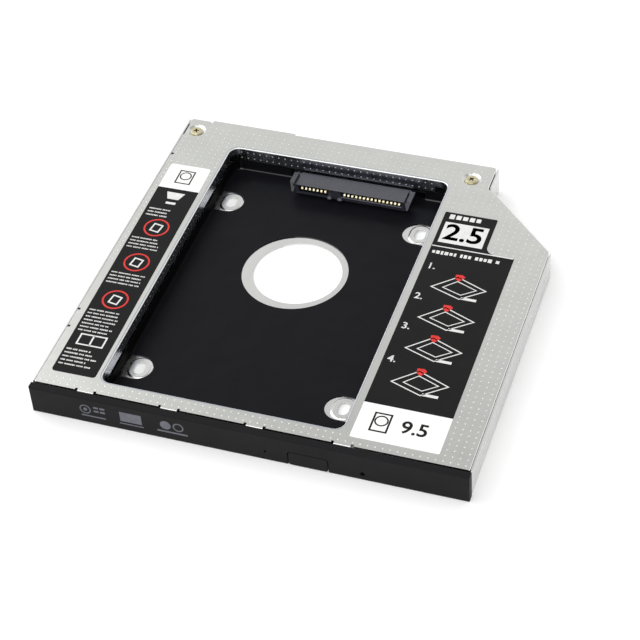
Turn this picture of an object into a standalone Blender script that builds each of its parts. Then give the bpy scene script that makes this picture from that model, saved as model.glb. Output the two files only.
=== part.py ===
"""Drive caddy for a laptop's 9.5 mm optical bay: a folded tray and a cover that carry a 2.5-inch drive.

Metres, +Z up. The origin is the middle of the caddy's footprint, on the surface that it lies on, and the
bezel faces -Y. Distances called "back" run from the seam between the bezel and the metal body towards the
rear.
"""

import math

import bmesh
import bpy
from mathutils import Vector

# The body fills a 9.5 mm optical bay
BODY_HEIGHT = 0.0095
BODY_WIDTH = 0.1280
BODY_DEPTH = 0.1245
BODY_LEFT = -BODY_WIDTH / 2
BODY_RIGHT = BODY_WIDTH / 2
CORNER_RADIUS = 0.0010
REAR_RIGHT_LENGTH = 0.0105
SHEET = 0.0005
CLEARANCE = 0.0003
ARC_STEPS = 3
SMALLEST_ARC = 0.0002

# Cover
COVER_BEND = 0.0006
WINDOW_BEND = 0.0008
SKIRT_DEPTH = 0.0022
KINK_LEAD = 0.0014
KINK_RADIUS = 0.0005
REAR_LIP_REACH = 0.0004
REAR_NOTCH_DEPTH = 0.0016

# The drive bay and the window over it
LEFT_PANEL_WIDTH = 0.0185
REAR_RIGHT_PANEL_WIDTH = 0.01315
REAR_PANEL_DEPTH = 0.0108
HOLE_TO_WINDOW_REAR = 0.0422
SLOT_PATTERN_SHIFT = -0.00025
WINDOW_WIDTH = 0.0717
WINDOW_FRONT = 0.0054
WINDOW_LENGTH = BODY_DEPTH - WINDOW_FRONT - REAR_PANEL_DEPTH
WINDOW_LEFT = BODY_LEFT + LEFT_PANEL_WIDTH
WINDOW_RIGHT = WINDOW_LEFT + WINDOW_WIDTH
BAY_CENTRE_X = (WINDOW_LEFT + WINDOW_RIGHT) / 2
WINDOW_RADIUS = 0.0030
FLANGE_DEPTH = 0.0037
REAR_FLAP_DEPTH = 0.0046
CORNER_FLANGE_DEPTH = 0.0025
FLANGE_CORNER_LENGTH = 0.0048

# Tongues that fold down from the cover's front edge, and the relief cuts beside each
TONGUE_COUNT = 4
TONGUE_WIDTH = 0.0048
TONGUE_PITCH = 0.02515
TONGUE_DEPTH = 0.0045
TONGUE_INSET = 0.0001
FIRST_TONGUE_OFFSET = 0.0164
FIRST_TONGUE_X = BODY_LEFT + FIRST_TONGUE_OFFSET
RELIEF_WIDTH = 0.0008
RELIEF_DEPTH = 0.0010

# Relief cuts in the cover's left edge: one on each side of a short tab, and one further back
SIDE_TAB_BACK = 0.0275
SIDE_TAB_WIDTH = 0.0066
REAR_RELIEF_TO_REAR = 0.0187
REAR_RELIEF_BACK = BODY_DEPTH - REAR_RELIEF_TO_REAR
SIDE_RELIEF_DEPTH = 0.0009

# Tray
TRAY_EDGE_RADIUS = 0.0006
RIM_DROP = 0.0002
RIM_TRIM = 0.00015
ROUND_HOLE_RADIUS = 0.01355
ROUND_HOLE_BACK = WINDOW_FRONT + WINDOW_LENGTH - HOLE_TO_WINDOW_REAR
SLOT_SPACING_X = 0.06172
SLOT_SPACING_Y = 0.0766
SLOT_PATTERN_BACK = WINDOW_FRONT + WINDOW_LENGTH / 2 + SLOT_PATTERN_SHIFT
SLOT_WIDTH = 0.0033
SLOT_LENGTH = 0.0050
SLOT_SEAT_MARGIN = 0.0019
SLOT_SEAT_TAPER = 0.0006
SLOT_SEAT_RISE = 0.0003
END_ROUNDNESS = 0.98

# Insulation film
FILM = 0.00025
FILM_FOLD_RADIUS = 0.0006
FILM_WALL_GAP = 0.0006
FILM_REAR_SETBACK = 0.0004
FILM_SHIFT_X = -0.00085
FILM_HOLE_RADIUS = 0.01622
FILM_CUTOUT_RADIUS = 0.00465
FILM_CONNECTOR_MARGIN = 0.0020

# Drive connector, 22-way at 1.27 mm pitch in two groups
CONNECTOR_OFFSET = 0.0057
CONNECTOR_X = BAY_CENTRE_X + CONNECTOR_OFFSET
CONTACT_PITCH = 0.00127
SIGNAL_COUNT = 7
POWER_COUNT = 15
GROUP_GAP = 0.00635
DRIVE_BODY_WIDTH = 0.0360
HORN_WIDTH = 0.0021
HORN_REACH = 0.0012
DRIVE_FRONT_TO_REAR = 0.0197
DRIVE_FRONT_BACK = BODY_DEPTH - DRIVE_FRONT_TO_REAR
DRIVE_BODY_DEPTH = 0.0055
DRIVE_TOP_DROP = 0.0035
DRIVE_TOP_Z = BODY_HEIGHT - DRIVE_TOP_DROP
DRIVE_BOTTOM_Z = 0.0016
DRIVE_LIP_SETBACK = 0.0006
CAVITY_FLOOR_Z = 0.0031
CAVITY_HEIGHT = 0.0018
CAVITY_SIDE_MARGIN = 0.0011
HOUSING_WALL = 0.0011
LEDGE_HEIGHT = 0.0009
CONTACT_THICKNESS = 0.00015
DRIVE_CONTACT_WIDTH = 0.0006
CONTACT_LIFT = 0.0001
CONTACT_BUMP = 0.0005
KEY_WIDTH = 0.0012

# Circuit board and the posts under it
BOARD_THICKNESS = 0.0010
BOARD_BOTTOM_Z = 0.0020
BOARD_FRONT_TO_REAR = 0.0089
BOARD_FRONT_BACK = BODY_DEPTH - BOARD_FRONT_TO_REAR
BOARD_EDGE_GAP = 0.0012
BOARD_REACH_RIGHT = 0.0101
BOARD_RIGHT_X = WINDOW_RIGHT + BOARD_REACH_RIGHT
POST_RADIUS = 0.0014
POST_SHOULDER_RADIUS = 0.0021
POST_BORE_RADIUS = 0.0010
LEFT_SCREW_INSET = 0.0043
LEFT_SCREW_TO_REAR = 0.0057
LEFT_SCREW_X = BODY_LEFT + LEFT_SCREW_INSET
LEFT_SCREW_BACK = BODY_DEPTH - LEFT_SCREW_TO_REAR
RIGHT_SCREW_OFFSET = 0.0061
RIGHT_SCREW_TO_REAR = 0.0073
RIGHT_SCREW_X = WINDOW_RIGHT + RIGHT_SCREW_OFFSET
RIGHT_SCREW_BACK = BODY_DEPTH - RIGHT_SCREW_TO_REAR

# Screws and their dished seats in the cover
SCREW_HEAD_RADIUS = 0.0019
SCREW_HEAD_HEIGHT = 0.0005
SCREW_DOME = 0.0002
SCREW_SHANK_RADIUS = 0.0007
SCREW_LENGTH = 0.0040
CROSS_SLOT = 0.00045
CROSS_SPAN = 0.0021
CROSS_DEPTH = 0.00035
SEAT_RADIUS = 0.0030
SEAT_TAPER = 0.0005
SEAT_DEPTH = 0.0005
SEAT_EDGE = 0.0017

# Host plug at the rear left, 7 + 6 way, and the cover's lip over it
HOST_INSET = 0.0220
HOST_X = BODY_LEFT + HOST_INSET
REAR_LIP_LEFT_REACH = 0.0143
REAR_LIP_RIGHT_REACH = 0.0140
REAR_LIP_LEFT = HOST_X - REAR_LIP_LEFT_REACH
REAR_LIP_RIGHT = HOST_X + REAR_LIP_RIGHT_REACH
HOST_WIDTH = 0.0242
HOST_TOP_GAP = 0.0012
HOST_DEPTH = 0.0072
HOST_REAR_SETBACK = 0.0003
HOST_CAVITY_DEPTH = 0.0052
TONGUE_THICKNESS = 0.0012
TONGUE_TIP_SETBACK = 0.0008
HOST_POWER_COUNT = 6
HOST_POWER_PITCH = 0.0010
HOST_CONTACT_WIDTH = 0.0005
HOST_GROUP_GAP = 0.0040

# Small parts on the board
CAPACITOR_COUNT = 3
CAPACITOR_SIZE = (0.0032, 0.0016, 0.0014)
CAPACITOR_PITCH = 0.0075
FIRST_CAPACITOR_OFFSET = 0.01105
FIRST_CAPACITOR_X = CONNECTOR_X - FIRST_CAPACITOR_OFFSET

# Bezel and button
BEZEL_THICKNESS = 0.0025
BEZEL_PLATE = 0.0012
BEZEL_RIM = 0.0010
BEZEL_EDGE = 0.0004
BUTTON_INSET = 0.04535
BUTTON_X = BODY_RIGHT - BUTTON_INSET
BUTTON_WIDTH = 0.0113
BUTTON_TOP_Z = 0.00495
BUTTON_BOTTOM_Z = 0.0002
BUTTON_CORNER = 0.0008
BUTTON_EDGE = 0.00015
BUTTON_WING = 0.0009
BUTTON_WING_THICKNESS = 0.0005
BUTTON_WING_LOW_Z = 0.0014
BUTTON_WING_HIGH_Z = 0.0038
PIN_HOLE_OFFSET = 0.01555
PIN_HOLE_X = BUTTON_X + PIN_HOLE_OFFSET
PIN_HOLE_Z = 0.0024
PIN_HOLE_RADIUS = 0.0006
HOOK_INSET = 0.0070
MIDDLE_HOOK_X = -0.0100
HOOK_PLACES_X = (BODY_LEFT + HOOK_INSET, MIDDLE_HOOK_X, BODY_RIGHT - HOOK_INSET)
HOOK_WIDTH = 0.0040
HOOK_THICKNESS = 0.0011
HOOK_BOTTOM_Z = 0.0026
HOOK_BARB = 0.0007
HOOK_BARB_LENGTH = 0.0016
END_MARK = 0.0006
END_MARK_Z = 0.0021

# Labels
LABEL = 0.0001
LEFT_LABEL_INSET = 0.00985
LEFT_LABEL_X = BODY_LEFT + LEFT_LABEL_INSET
LEFT_LABEL_WIDTH = 0.0134
LEFT_LABEL_FRONT = 0.0058
LEFT_LABEL_TO_REAR = 0.0234
LEFT_LABEL_LENGTH = BODY_DEPTH - LEFT_LABEL_FRONT - LEFT_LABEL_TO_REAR
LEFT_LABEL_TURN = math.radians(0.5)
LABEL_CORNER = 0.0010
RIGHT_LABEL_GAP = 0.0026
RIGHT_LABEL_LEFT = WINDOW_RIGHT + RIGHT_LABEL_GAP
RIGHT_LABEL_WIDTH = 0.0253
RIGHT_LABEL_FRONT = 0.0037
RIGHT_HEAD_WIDTH = 0.0163
RIGHT_HEAD_LENGTH = 0.0157
RIGHT_HEAD_TO_REAR = 0.0243
RIGHT_HEAD_BACK = BODY_DEPTH - RIGHT_HEAD_TO_REAR
RIGHT_LABEL_LENGTH = RIGHT_HEAD_BACK - RIGHT_LABEL_FRONT - RIGHT_HEAD_LENGTH
RIGHT_HEAD_FILLET = 0.0032
RIGHT_LABEL_CORNER = 0.0004

# Places worked out from the sizes above
OVERALL_DEPTH = BEZEL_THICKNESS + BODY_DEPTH + REAR_LIP_REACH
SEAM_Y = BEZEL_THICKNESS - OVERALL_DEPTH / 2
REAR_RIGHT_X = WINDOW_RIGHT + REAR_RIGHT_PANEL_WIDTH
KINK_BACK = BODY_DEPTH - REAR_RIGHT_LENGTH
RIGHT_SIDE_LENGTH = KINK_BACK - (BODY_RIGHT - REAR_RIGHT_X)
COVER_INSET = SHEET + CLEARANCE
COVER_LEFT = BODY_LEFT + COVER_INSET
COVER_UNDER_Z = BODY_HEIGHT - SHEET
BOARD_TOP_Z = BOARD_BOTTOM_Z + BOARD_THICKNESS
HOST_HEIGHT = COVER_UNDER_Z - HOST_TOP_GAP - BOARD_TOP_Z
FAR = 0.0100


def back(distance):
    """World Y of a place this far behind the seam."""
    return SEAM_Y + distance


def outline(corners, inset=0.0, steps=ARC_STEPS):
    """Points round a counter-clockwise outline of (x, y, radius) corners, moved inwards by inset."""
    points = []
    for index, (x, y, radius) in enumerate(corners):
        here = Vector((x, y))
        before = Vector(corners[index - 1][:2])
        after = Vector(corners[(index + 1) % len(corners)][:2])
        come = (here - before).normalized()
        leave = (after - here).normalized()
        come_inward = Vector((-come.y, come.x))
        leave_inward = Vector((-leave.y, leave.x))
        turn = math.atan2(come.x * leave.y - come.y * leave.x, come.dot(leave))
        side = 1.0 if turn > 0 else -1.0
        vertex = here + (come_inward + leave_inward) * (inset / (1.0 + come_inward.dot(leave_inward)))
        arc = max(radius - side * inset, SMALLEST_ARC)
        start = vertex - come * (arc * math.tan(abs(turn) / 2))
        centre = start + come_inward * (side * arc)
        first = math.atan2(start.y - centre.y, start.x - centre.x)
        for step in range(steps + 1):
            angle = first + turn * step / steps
            points.append((centre.x + arc * math.cos(angle), centre.y + arc * math.sin(angle)))
    return points


def rectangle(x_low, x_high, y_low, y_high, radius=0.0):
    """Counter-clockwise corners of an upright rectangle."""
    corners = ((x_low, y_low), (x_high, y_low), (x_high, y_high), (x_low, y_high))
    return [(x, y, radius) for x, y in corners]


def circle(x, y, radius, steps=32):
    """Counter-clockwise points round a circle."""
    angles = [2 * math.pi * step / steps for step in range(steps)]
    return [(x + radius * math.cos(angle), y + radius * math.sin(angle)) for angle in angles]


def stadium(x, y, width, length, steps=6):
    """Points round an oval slot whose long side runs along Y."""
    half = width / 2
    reach = length / 2
    return outline(rectangle(x - half, x + half, y - reach, y + reach, half * END_ROUNDNESS), steps=steps)


def add_object(name, mesh):
    """Links a new object that holds the mesh."""
    item = bpy.data.objects.new(name, mesh)
    bpy.context.scene.collection.objects.link(item)
    return item


def loft(name, loops, ring=False):
    """Solid through loops of equal length, closed by end faces or, as a ring, back onto the first loop."""
    mesh = bmesh.new()
    rows = [[mesh.verts.new(point) for point in loop] for loop in loops]
    pairs = list(zip(rows, rows[1:]))
    if ring:
        pairs.append((rows[-1], rows[0]))
    for low, high in pairs:
        for index in range(len(low)):
            other = (index + 1) % len(low)
            mesh.faces.new((low[index], low[other], high[other], high[index]))
    if not ring:
        mesh.faces.new(list(reversed(rows[0])))
        mesh.faces.new(rows[-1])
    bmesh.ops.recalc_face_normals(mesh, faces=mesh.faces[:])
    data = bpy.data.meshes.new(name)
    mesh.to_mesh(data)
    mesh.free()
    return add_object(name, data)


def prism(name, points, low, high):
    """Upright solid on a flat outline, between two heights."""
    return loft(name, [[(x, y, low) for x, y in points], [(x, y, high) for x, y in points]])


def side_prism(name, profile, x_low, x_high):
    """Solid whose (y, z) profile runs along X."""
    return loft(name, [[(x_low, y, z) for y, z in profile], [(x_high, y, z) for y, z in profile]])


def box(name, x_low, x_high, y_low, y_high, z_low, z_high):
    """Plain block between two corners."""
    points = [(x_low, y_low), (x_high, y_low), (x_high, y_high), (x_low, y_high)]
    return prism(name, points, z_low, z_high)


def frustum(name, low_points, high_points, low, high):
    """Solid between two like outlines at two heights."""
    return loft(name, [[(x, y, low) for x, y in low_points], [(x, y, high) for x, y in high_points]])


def boolean(target, operation, tools):
    """Adds one Boolean per tool and hides the tools."""
    for tool in tools:
        change = target.modifiers.new(tool.name, "BOOLEAN")
        change.operation = operation
        change.solver = "EXACT"
        change.object = tool
        tool.hide_render = True
        tool.display_type = "WIRE"
        tool.parent = target


def cut(target, *tools):
    """Takes the tools out of the target."""
    boolean(target, "DIFFERENCE", tools)


def fuse(target, *tools):
    """Joins the tools to the target."""
    boolean(target, "UNION", tools)


def finish(item, colour, roughness, metallic=0.0):
    """Gives the object its own material."""
    material = bpy.data.materials.new(item.name)
    material.use_nodes = True
    shader = material.node_tree.nodes["Principled BSDF"]
    shader.inputs["Base Color"].default_value = (*colour, 1.0)
    shader.inputs["Roughness"].default_value = roughness
    shader.inputs["Metallic"].default_value = metallic
    item.data.materials.append(material)


def tray_corners():
    """Plan of the tray: a rectangle with its right rear corner cut off."""
    return [
        (BODY_LEFT, back(0.0), CORNER_RADIUS),
        (BODY_RIGHT, back(0.0), CORNER_RADIUS),
        (BODY_RIGHT, back(RIGHT_SIDE_LENGTH), CORNER_RADIUS),
        (REAR_RIGHT_X, back(KINK_BACK), CORNER_RADIUS),
        (REAR_RIGHT_X, back(BODY_DEPTH), CORNER_RADIUS),
        (BODY_LEFT, back(BODY_DEPTH), CORNER_RADIUS),
    ]


def cover_corners():
    """Plan of the cover: between the tray's side walls, and flush with the tray elsewhere."""
    right = BODY_RIGHT - COVER_INSET
    kink_x = REAR_RIGHT_X - COVER_INSET
    lead_back = KINK_BACK - KINK_LEAD
    return [
        (COVER_LEFT, back(0.0), CORNER_RADIUS),
        (right, back(0.0), CORNER_RADIUS),
        (right, back(RIGHT_SIDE_LENGTH + COVER_INSET), CORNER_RADIUS),
        (REAR_RIGHT_X + KINK_LEAD, back(lead_back), CORNER_RADIUS),
        (kink_x, back(KINK_BACK), KINK_RADIUS),
        (kink_x, back(BODY_DEPTH), CORNER_RADIUS),
        (COVER_LEFT, back(BODY_DEPTH), CORNER_RADIUS),
    ]


def window_corners():
    """Plan of the window in the cover."""
    front = back(WINDOW_FRONT)
    return rectangle(WINDOW_LEFT, WINDOW_RIGHT, front, front + WINDOW_LENGTH, WINDOW_RADIUS)


def loops_along(corners, profile):
    """Loops of one outline at each (inset, z) of a profile."""
    return [[(x, y, z) for x, y in outline(corners, inset)] for inset, z in profile]


def bend(radius, from_angle, to_angle, inset, z, steps=3):
    """Points (inset, z) round a quarter bend about a centre."""
    angles = [from_angle + (to_angle - from_angle) * step / steps for step in range(steps + 1)]
    return [(inset - radius * math.sin(angle), z + radius * math.cos(angle)) for angle in angles]


def tongue_centres():
    """X of each front tongue of the cover."""
    return [FIRST_TONGUE_X + TONGUE_PITCH * index for index in range(TONGUE_COUNT)]


def slot_centres():
    """Middle of each drive-screw slot."""
    return [
        (BAY_CENTRE_X + side_x * SLOT_SPACING_X / 2, back(SLOT_PATTERN_BACK + side_y * SLOT_SPACING_Y / 2))
        for side_y in (-1, 1)
        for side_x in (-1, 1)
    ]


def screw_places():
    """Name and middle of each cover screw."""
    return (
        ("rear_left", LEFT_SCREW_X, back(LEFT_SCREW_BACK)),
        ("rear_right", RIGHT_SCREW_X, back(RIGHT_SCREW_BACK)),
    )


def contact_places():
    """Name and X of each contact in the drive connector."""
    span = (SIGNAL_COUNT - 1) * CONTACT_PITCH + GROUP_GAP + (POWER_COUNT - 1) * CONTACT_PITCH
    first = CONNECTOR_X - span / 2
    first_power = first + (SIGNAL_COUNT - 1) * CONTACT_PITCH + GROUP_GAP
    places = [(f"drive_signal_contact_{n + 1}", first + n * CONTACT_PITCH) for n in range(SIGNAL_COUNT)]
    places += [(f"drive_power_contact_{n + 1}", first_power + n * CONTACT_PITCH) for n in range(POWER_COUNT)]
    return places


def host_contact_places():
    """Name and X of each contact in the host plug."""
    signal_span = (SIGNAL_COUNT - 1) * CONTACT_PITCH
    power_span = (HOST_POWER_COUNT - 1) * HOST_POWER_PITCH
    first = HOST_X - (signal_span + HOST_GROUP_GAP + power_span) / 2
    first_power = first + signal_span + HOST_GROUP_GAP
    places = [(f"host_signal_contact_{n + 1}", first + n * CONTACT_PITCH) for n in range(SIGNAL_COUNT)]
    for n in range(HOST_POWER_COUNT):
        places.append((f"host_power_contact_{n + 1}", first_power + n * HOST_POWER_PITCH))
    return places


def make_cover():
    """Cover: a plate with bent skirts and a window whose edges fold down into flanges."""
    cover = loft("top_cover", loops_along(cover_corners(), folded_edge(COVER_BEND, SKIRT_DEPTH)))
    flange_low = BODY_HEIGHT - REAR_FLAP_DEPTH
    flange = [(-inset, z) for inset, z in folded_edge(WINDOW_BEND, REAR_FLAP_DEPTH)]
    window_edge = outline(window_corners(), -WINDOW_BEND)
    cut(cover, prism("window_cut", window_edge, COVER_UNDER_Z - FAR, BODY_HEIGHT + FAR))
    fuse(cover, loft("window_flange", loops_along(window_corners(), flange), ring=True))
    cut(cover, *flange_trims(flange_low))
    cut(cover, *front_edge_cuts())
    fuse(cover, *front_tongues())
    shape_left_edge(cover)
    shape_rear_edge(cover)
    for name, x, y in screw_places():
        seat_screw(cover, name, x, y)
    finish(cover, (0.66, 0.67, 0.66), 0.35, 1.0)


def folded_edge(radius, depth):
    """Section (inset, z) of the plate's bend and of the sheet that hangs from it."""
    quarter = math.pi / 2
    centre_z = BODY_HEIGHT - radius
    low = BODY_HEIGHT - depth
    outer_bend = bend(radius, 0.0, quarter, radius, centre_z)
    inner_bend = bend(radius - SHEET, quarter, 0.0, radius, centre_z)
    return outer_bend + [(0.0, low), (SHEET, low)] + inner_bend


def flange_trims(flange_low):
    """Blocks that shorten the window's flanges at the sides, the front and the corners."""
    outer = SHEET + WINDOW_BEND
    low = flange_low - FAR
    front = back(WINDOW_FRONT)
    rear = front + WINDOW_LENGTH
    side_low = BODY_HEIGHT - FLANGE_DEPTH
    corner_low = BODY_HEIGHT - CORNER_FLANGE_DEPTH
    left = WINDOW_LEFT - outer
    right = WINDOW_RIGHT + outer
    deep_left = WINDOW_LEFT + FLANGE_CORNER_LENGTH
    deep_right = WINDOW_RIGHT - FLANGE_CORNER_LENGTH
    deep_front = front + FLANGE_CORNER_LENGTH
    deep_rear = rear - FLANGE_CORNER_LENGTH
    return (
        box("flange_trim", left, right, front - outer, deep_rear, low, side_low),
        box("corner_trim_front_left", left, deep_left, front - outer, deep_front, low, corner_low),
        box("corner_trim_front_right", deep_right, right, front - outer, deep_front, low, corner_low),
        box("corner_trim_rear_left", left, deep_left, deep_rear, rear + outer, low, corner_low),
        box("corner_trim_rear_right", deep_right, right, deep_rear, rear + outer, low, corner_low),
    )


def front_edge_cuts():
    """The front edge has a skirt only at its tongues, and a relief cut on each side of each tongue."""
    skirt_low = BODY_HEIGHT - SKIRT_DEPTH - CLEARANCE
    reach = (TONGUE_WIDTH + RELIEF_WIDTH) / 2
    starts = [BODY_LEFT - FAR] + [centre + reach for centre in tongue_centres()]
    ends = [centre - reach for centre in tongue_centres()] + [BODY_RIGHT + FAR]
    cuts = [
        box(f"front_skirt_cut_{number}", start, end, back(-FAR), back(SHEET + CLEARANCE), skirt_low,
            BODY_HEIGHT - COVER_BEND)
        for number, (start, end) in enumerate(zip(starts, ends), 1)
    ]
    for number, centre in enumerate(tongue_centres(), 1):
        for side, word in ((-1, "left"), (1, "right")):
            middle = centre + side * reach
            cuts.append(box(f"relief_{number}_{word}", middle - RELIEF_WIDTH / 2, middle + RELIEF_WIDTH / 2,
                            back(-FAR), back(RELIEF_DEPTH), skirt_low, BODY_HEIGHT + FAR))
    return cuts


def front_tongues():
    """Tongues that hang from the front skirt inside the bezel."""
    low = BODY_HEIGHT - TONGUE_DEPTH
    high = BODY_HEIGHT - COVER_BEND - CLEARANCE
    half = TONGUE_WIDTH / 2 - TONGUE_INSET
    front = back(TONGUE_INSET)
    rear = back(SHEET - TONGUE_INSET)
    return [
        box(f"tongue_{number}", centre - half, centre + half, front, rear, low, high)
        for number, centre in enumerate(tongue_centres(), 1)
    ]


def shape_left_edge(cover):
    """Relief cuts beside the tab and further back."""
    middles = (
        SIDE_TAB_BACK - (SIDE_TAB_WIDTH + RELIEF_WIDTH) / 2,
        SIDE_TAB_BACK + (SIDE_TAB_WIDTH + RELIEF_WIDTH) / 2,
        REAR_RELIEF_BACK,
    )
    for number, middle in enumerate(middles, 1):
        cut(cover, box(f"side_relief_{number}", COVER_LEFT - FAR, COVER_LEFT + SIDE_RELIEF_DEPTH,
                       back(middle - RELIEF_WIDTH / 2), back(middle + RELIEF_WIDTH / 2),
                       BODY_HEIGHT - SKIRT_DEPTH - FAR, BODY_HEIGHT + FAR))


def shape_rear_edge(cover):
    """Over the host plug the skirt is left out and the plate reaches further back, beside a small notch."""
    edge = BODY_DEPTH - COVER_BEND - CLEARANCE
    low = BODY_HEIGHT - SKIRT_DEPTH - FAR
    cut(cover, box("rear_skirt_cut", REAR_LIP_LEFT, REAR_LIP_RIGHT, back(edge), back(BODY_DEPTH + FAR), low,
                   COVER_UNDER_Z))
    fuse(cover, box("rear_lip", REAR_LIP_LEFT, REAR_LIP_RIGHT, back(edge), back(BODY_DEPTH + REAR_LIP_REACH),
                    COVER_UNDER_Z, BODY_HEIGHT))
    mouth = back(BODY_DEPTH + REAR_NOTCH_DEPTH)
    notch = [(REAR_LIP_LEFT, back(BODY_DEPTH - REAR_NOTCH_DEPTH)), (REAR_LIP_LEFT + RELIEF_WIDTH, mouth),
             (REAR_LIP_LEFT - RELIEF_WIDTH, mouth)]
    cut(cover, prism("rear_notch", notch, low, BODY_HEIGHT + FAR))


def seat_screw(cover, name, x, y):
    """A dished seat with a hole for the screw's shank. Beside the left one the cover's edge is cut back."""
    pad_low = COVER_UNDER_Z - SEAT_DEPTH
    seat_low = BODY_HEIGHT - SEAT_DEPTH
    edge = BODY_LEFT + SEAT_EDGE
    if x - SEAT_RADIUS < edge:
        half = SEAT_RADIUS - CLEARANCE
        cut(cover, box(f"{name}_edge_cut", COVER_LEFT - FAR, edge, y - half, y + half, pad_low - FAR,
                       BODY_HEIGHT + FAR))
    pad = [(max(px, edge + CLEARANCE / 3), py) for px, py in circle(x, y, SEAT_RADIUS, 24)]
    fuse(cover, prism(f"{name}_pad", pad, pad_low, COVER_UNDER_Z + SHEET / 3))
    dish = frustum(f"{name}_dish", circle(x, y, SEAT_RADIUS - SEAT_TAPER, 24), circle(x, y, SEAT_RADIUS, 24),
                   seat_low, BODY_HEIGHT)
    above = prism(f"{name}_dish_mouth", circle(x, y, SEAT_RADIUS, 24), BODY_HEIGHT, BODY_HEIGHT + FAR)
    cut(cover, dish, above)
    cut(cover, prism(f"{name}_hole", circle(x, y, SCREW_SHANK_RADIUS + CLEARANCE, 16), pad_low - FAR,
                     BODY_HEIGHT + FAR))


def make_tray():
    """Tray: floor and walls from one sheet. Its sides rise beside the cover, the rest stops under it."""
    top = BODY_HEIGHT - RIM_DROP
    profile = [
        (TRAY_EDGE_RADIUS, 0.0),
        (TRAY_EDGE_RADIUS * (1 - math.cos(math.pi / 4)), TRAY_EDGE_RADIUS * (1 - math.sin(math.pi / 4))),
        (0.0, TRAY_EDGE_RADIUS),
        (0.0, top),
        (SHEET, top),
        (SHEET, SHEET),
    ]
    tray = loft("bottom_tray", loops_along(tray_corners(), profile))
    cut(tray, *wall_trims())
    hole = circle(BAY_CENTRE_X, back(ROUND_HOLE_BACK), ROUND_HOLE_RADIUS, 48)
    cut(tray, prism("round_hole", hole, -FAR, SHEET + CLEARANCE))
    for number, (x, y) in enumerate(slot_centres(), 1):
        seat_slot(tray, number, x, y)
    cut(tray, *front_wall_cuts())
    host_left = HOST_X - HOST_WIDTH / 2 - CLEARANCE
    host_right = HOST_X + HOST_WIDTH / 2 + CLEARANCE
    cut(tray, box("host_opening", host_left, host_right, back(BODY_DEPTH - SHEET - CLEARANCE),
                  back(BODY_DEPTH + FAR), BOARD_BOTTOM_Z - CLEARANCE, BODY_HEIGHT + FAR))
    finish(tray, (0.62, 0.63, 0.63), 0.38, 1.0)


def wall_trims():
    """Cutters that end the front, rear and slanted walls under the cover's skirt."""
    low = BODY_HEIGHT - SKIRT_DEPTH - CLEARANCE
    high = BODY_HEIGHT + FAR
    reach = SHEET - RIM_TRIM
    left = BODY_LEFT + reach
    right = BODY_RIGHT - reach
    rear = BODY_DEPTH - SHEET - CLEARANCE
    slant_end = KINK_BACK + CLEARANCE
    inside = (SHEET + CLEARANCE) * math.sqrt(2)
    slant_sum = BODY_RIGHT + RIGHT_SIDE_LENGTH - inside
    slant = [(right, back(slant_sum - right)), (right, back(slant_end)),
             (slant_sum - slant_end, back(slant_end))]
    return (
        box("front_wall_trim", left, right, back(-FAR), back(SHEET + CLEARANCE), low, high),
        box("rear_wall_trim", left, REAR_RIGHT_X - reach, back(rear), back(BODY_DEPTH + FAR), low, high),
        prism("slanted_wall_trim", slant, low, high),
    )


def seat_slot(tray, number, x, y):
    """A raised oval seat round a drive-screw slot, dished underneath for the screw's head."""
    base_width = SLOT_WIDTH + 2 * SLOT_SEAT_MARGIN
    base_length = SLOT_LENGTH + 2 * SLOT_SEAT_MARGIN
    base = stadium(x, y, base_width, base_length)
    top = stadium(x, y, base_width - 2 * SLOT_SEAT_TAPER, base_length - 2 * SLOT_SEAT_TAPER)
    inside = SHEET / 3
    fuse(tray, frustum(f"slot_seat_{number}", base, top, SHEET - inside, SHEET + SLOT_SEAT_RISE))
    low_top = stadium(x, y, base_width - 4 * SLOT_SEAT_TAPER, base_length - 4 * SLOT_SEAT_TAPER)
    cut(tray, frustum(f"slot_dish_{number}", top, low_top, -CLEARANCE / 10, SLOT_SEAT_RISE))
    cut(tray, prism(f"slot_{number}", stadium(x, y, SLOT_WIDTH, SLOT_LENGTH), -FAR, SHEET + FAR))


def front_wall_cuts():
    """Notches for the cover's tongues and windows for the bezel's hooks and the button."""
    deep = back(SHEET + CLEARANCE)
    front = back(-FAR)
    cuts = []
    for number, centre in enumerate(tongue_centres(), 1):
        reach = TONGUE_WIDTH / 2 + CLEARANCE
        cuts.append(box(f"tongue_notch_{number}", centre - reach, centre + reach, front, deep,
                        BODY_HEIGHT - TONGUE_DEPTH - CLEARANCE, BODY_HEIGHT - SKIRT_DEPTH))
    for number, centre in enumerate(HOOK_PLACES_X, 1):
        reach = HOOK_WIDTH / 2 + CLEARANCE
        cuts.append(box(f"hook_window_{number}", centre - reach, centre + reach, front, deep,
                        HOOK_BOTTOM_Z - CLEARANCE, HOOK_BOTTOM_Z + HOOK_THICKNESS + HOOK_BARB + CLEARANCE))
    reach = BUTTON_WIDTH / 2 + BUTTON_WING + CLEARANCE
    cuts.append(box("button_window", BUTTON_X - reach, BUTTON_X + reach, front, deep,
                    BUTTON_WING_LOW_Z - CLEARANCE, BUTTON_WING_HIGH_Z + CLEARANCE))
    return cuts


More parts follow.
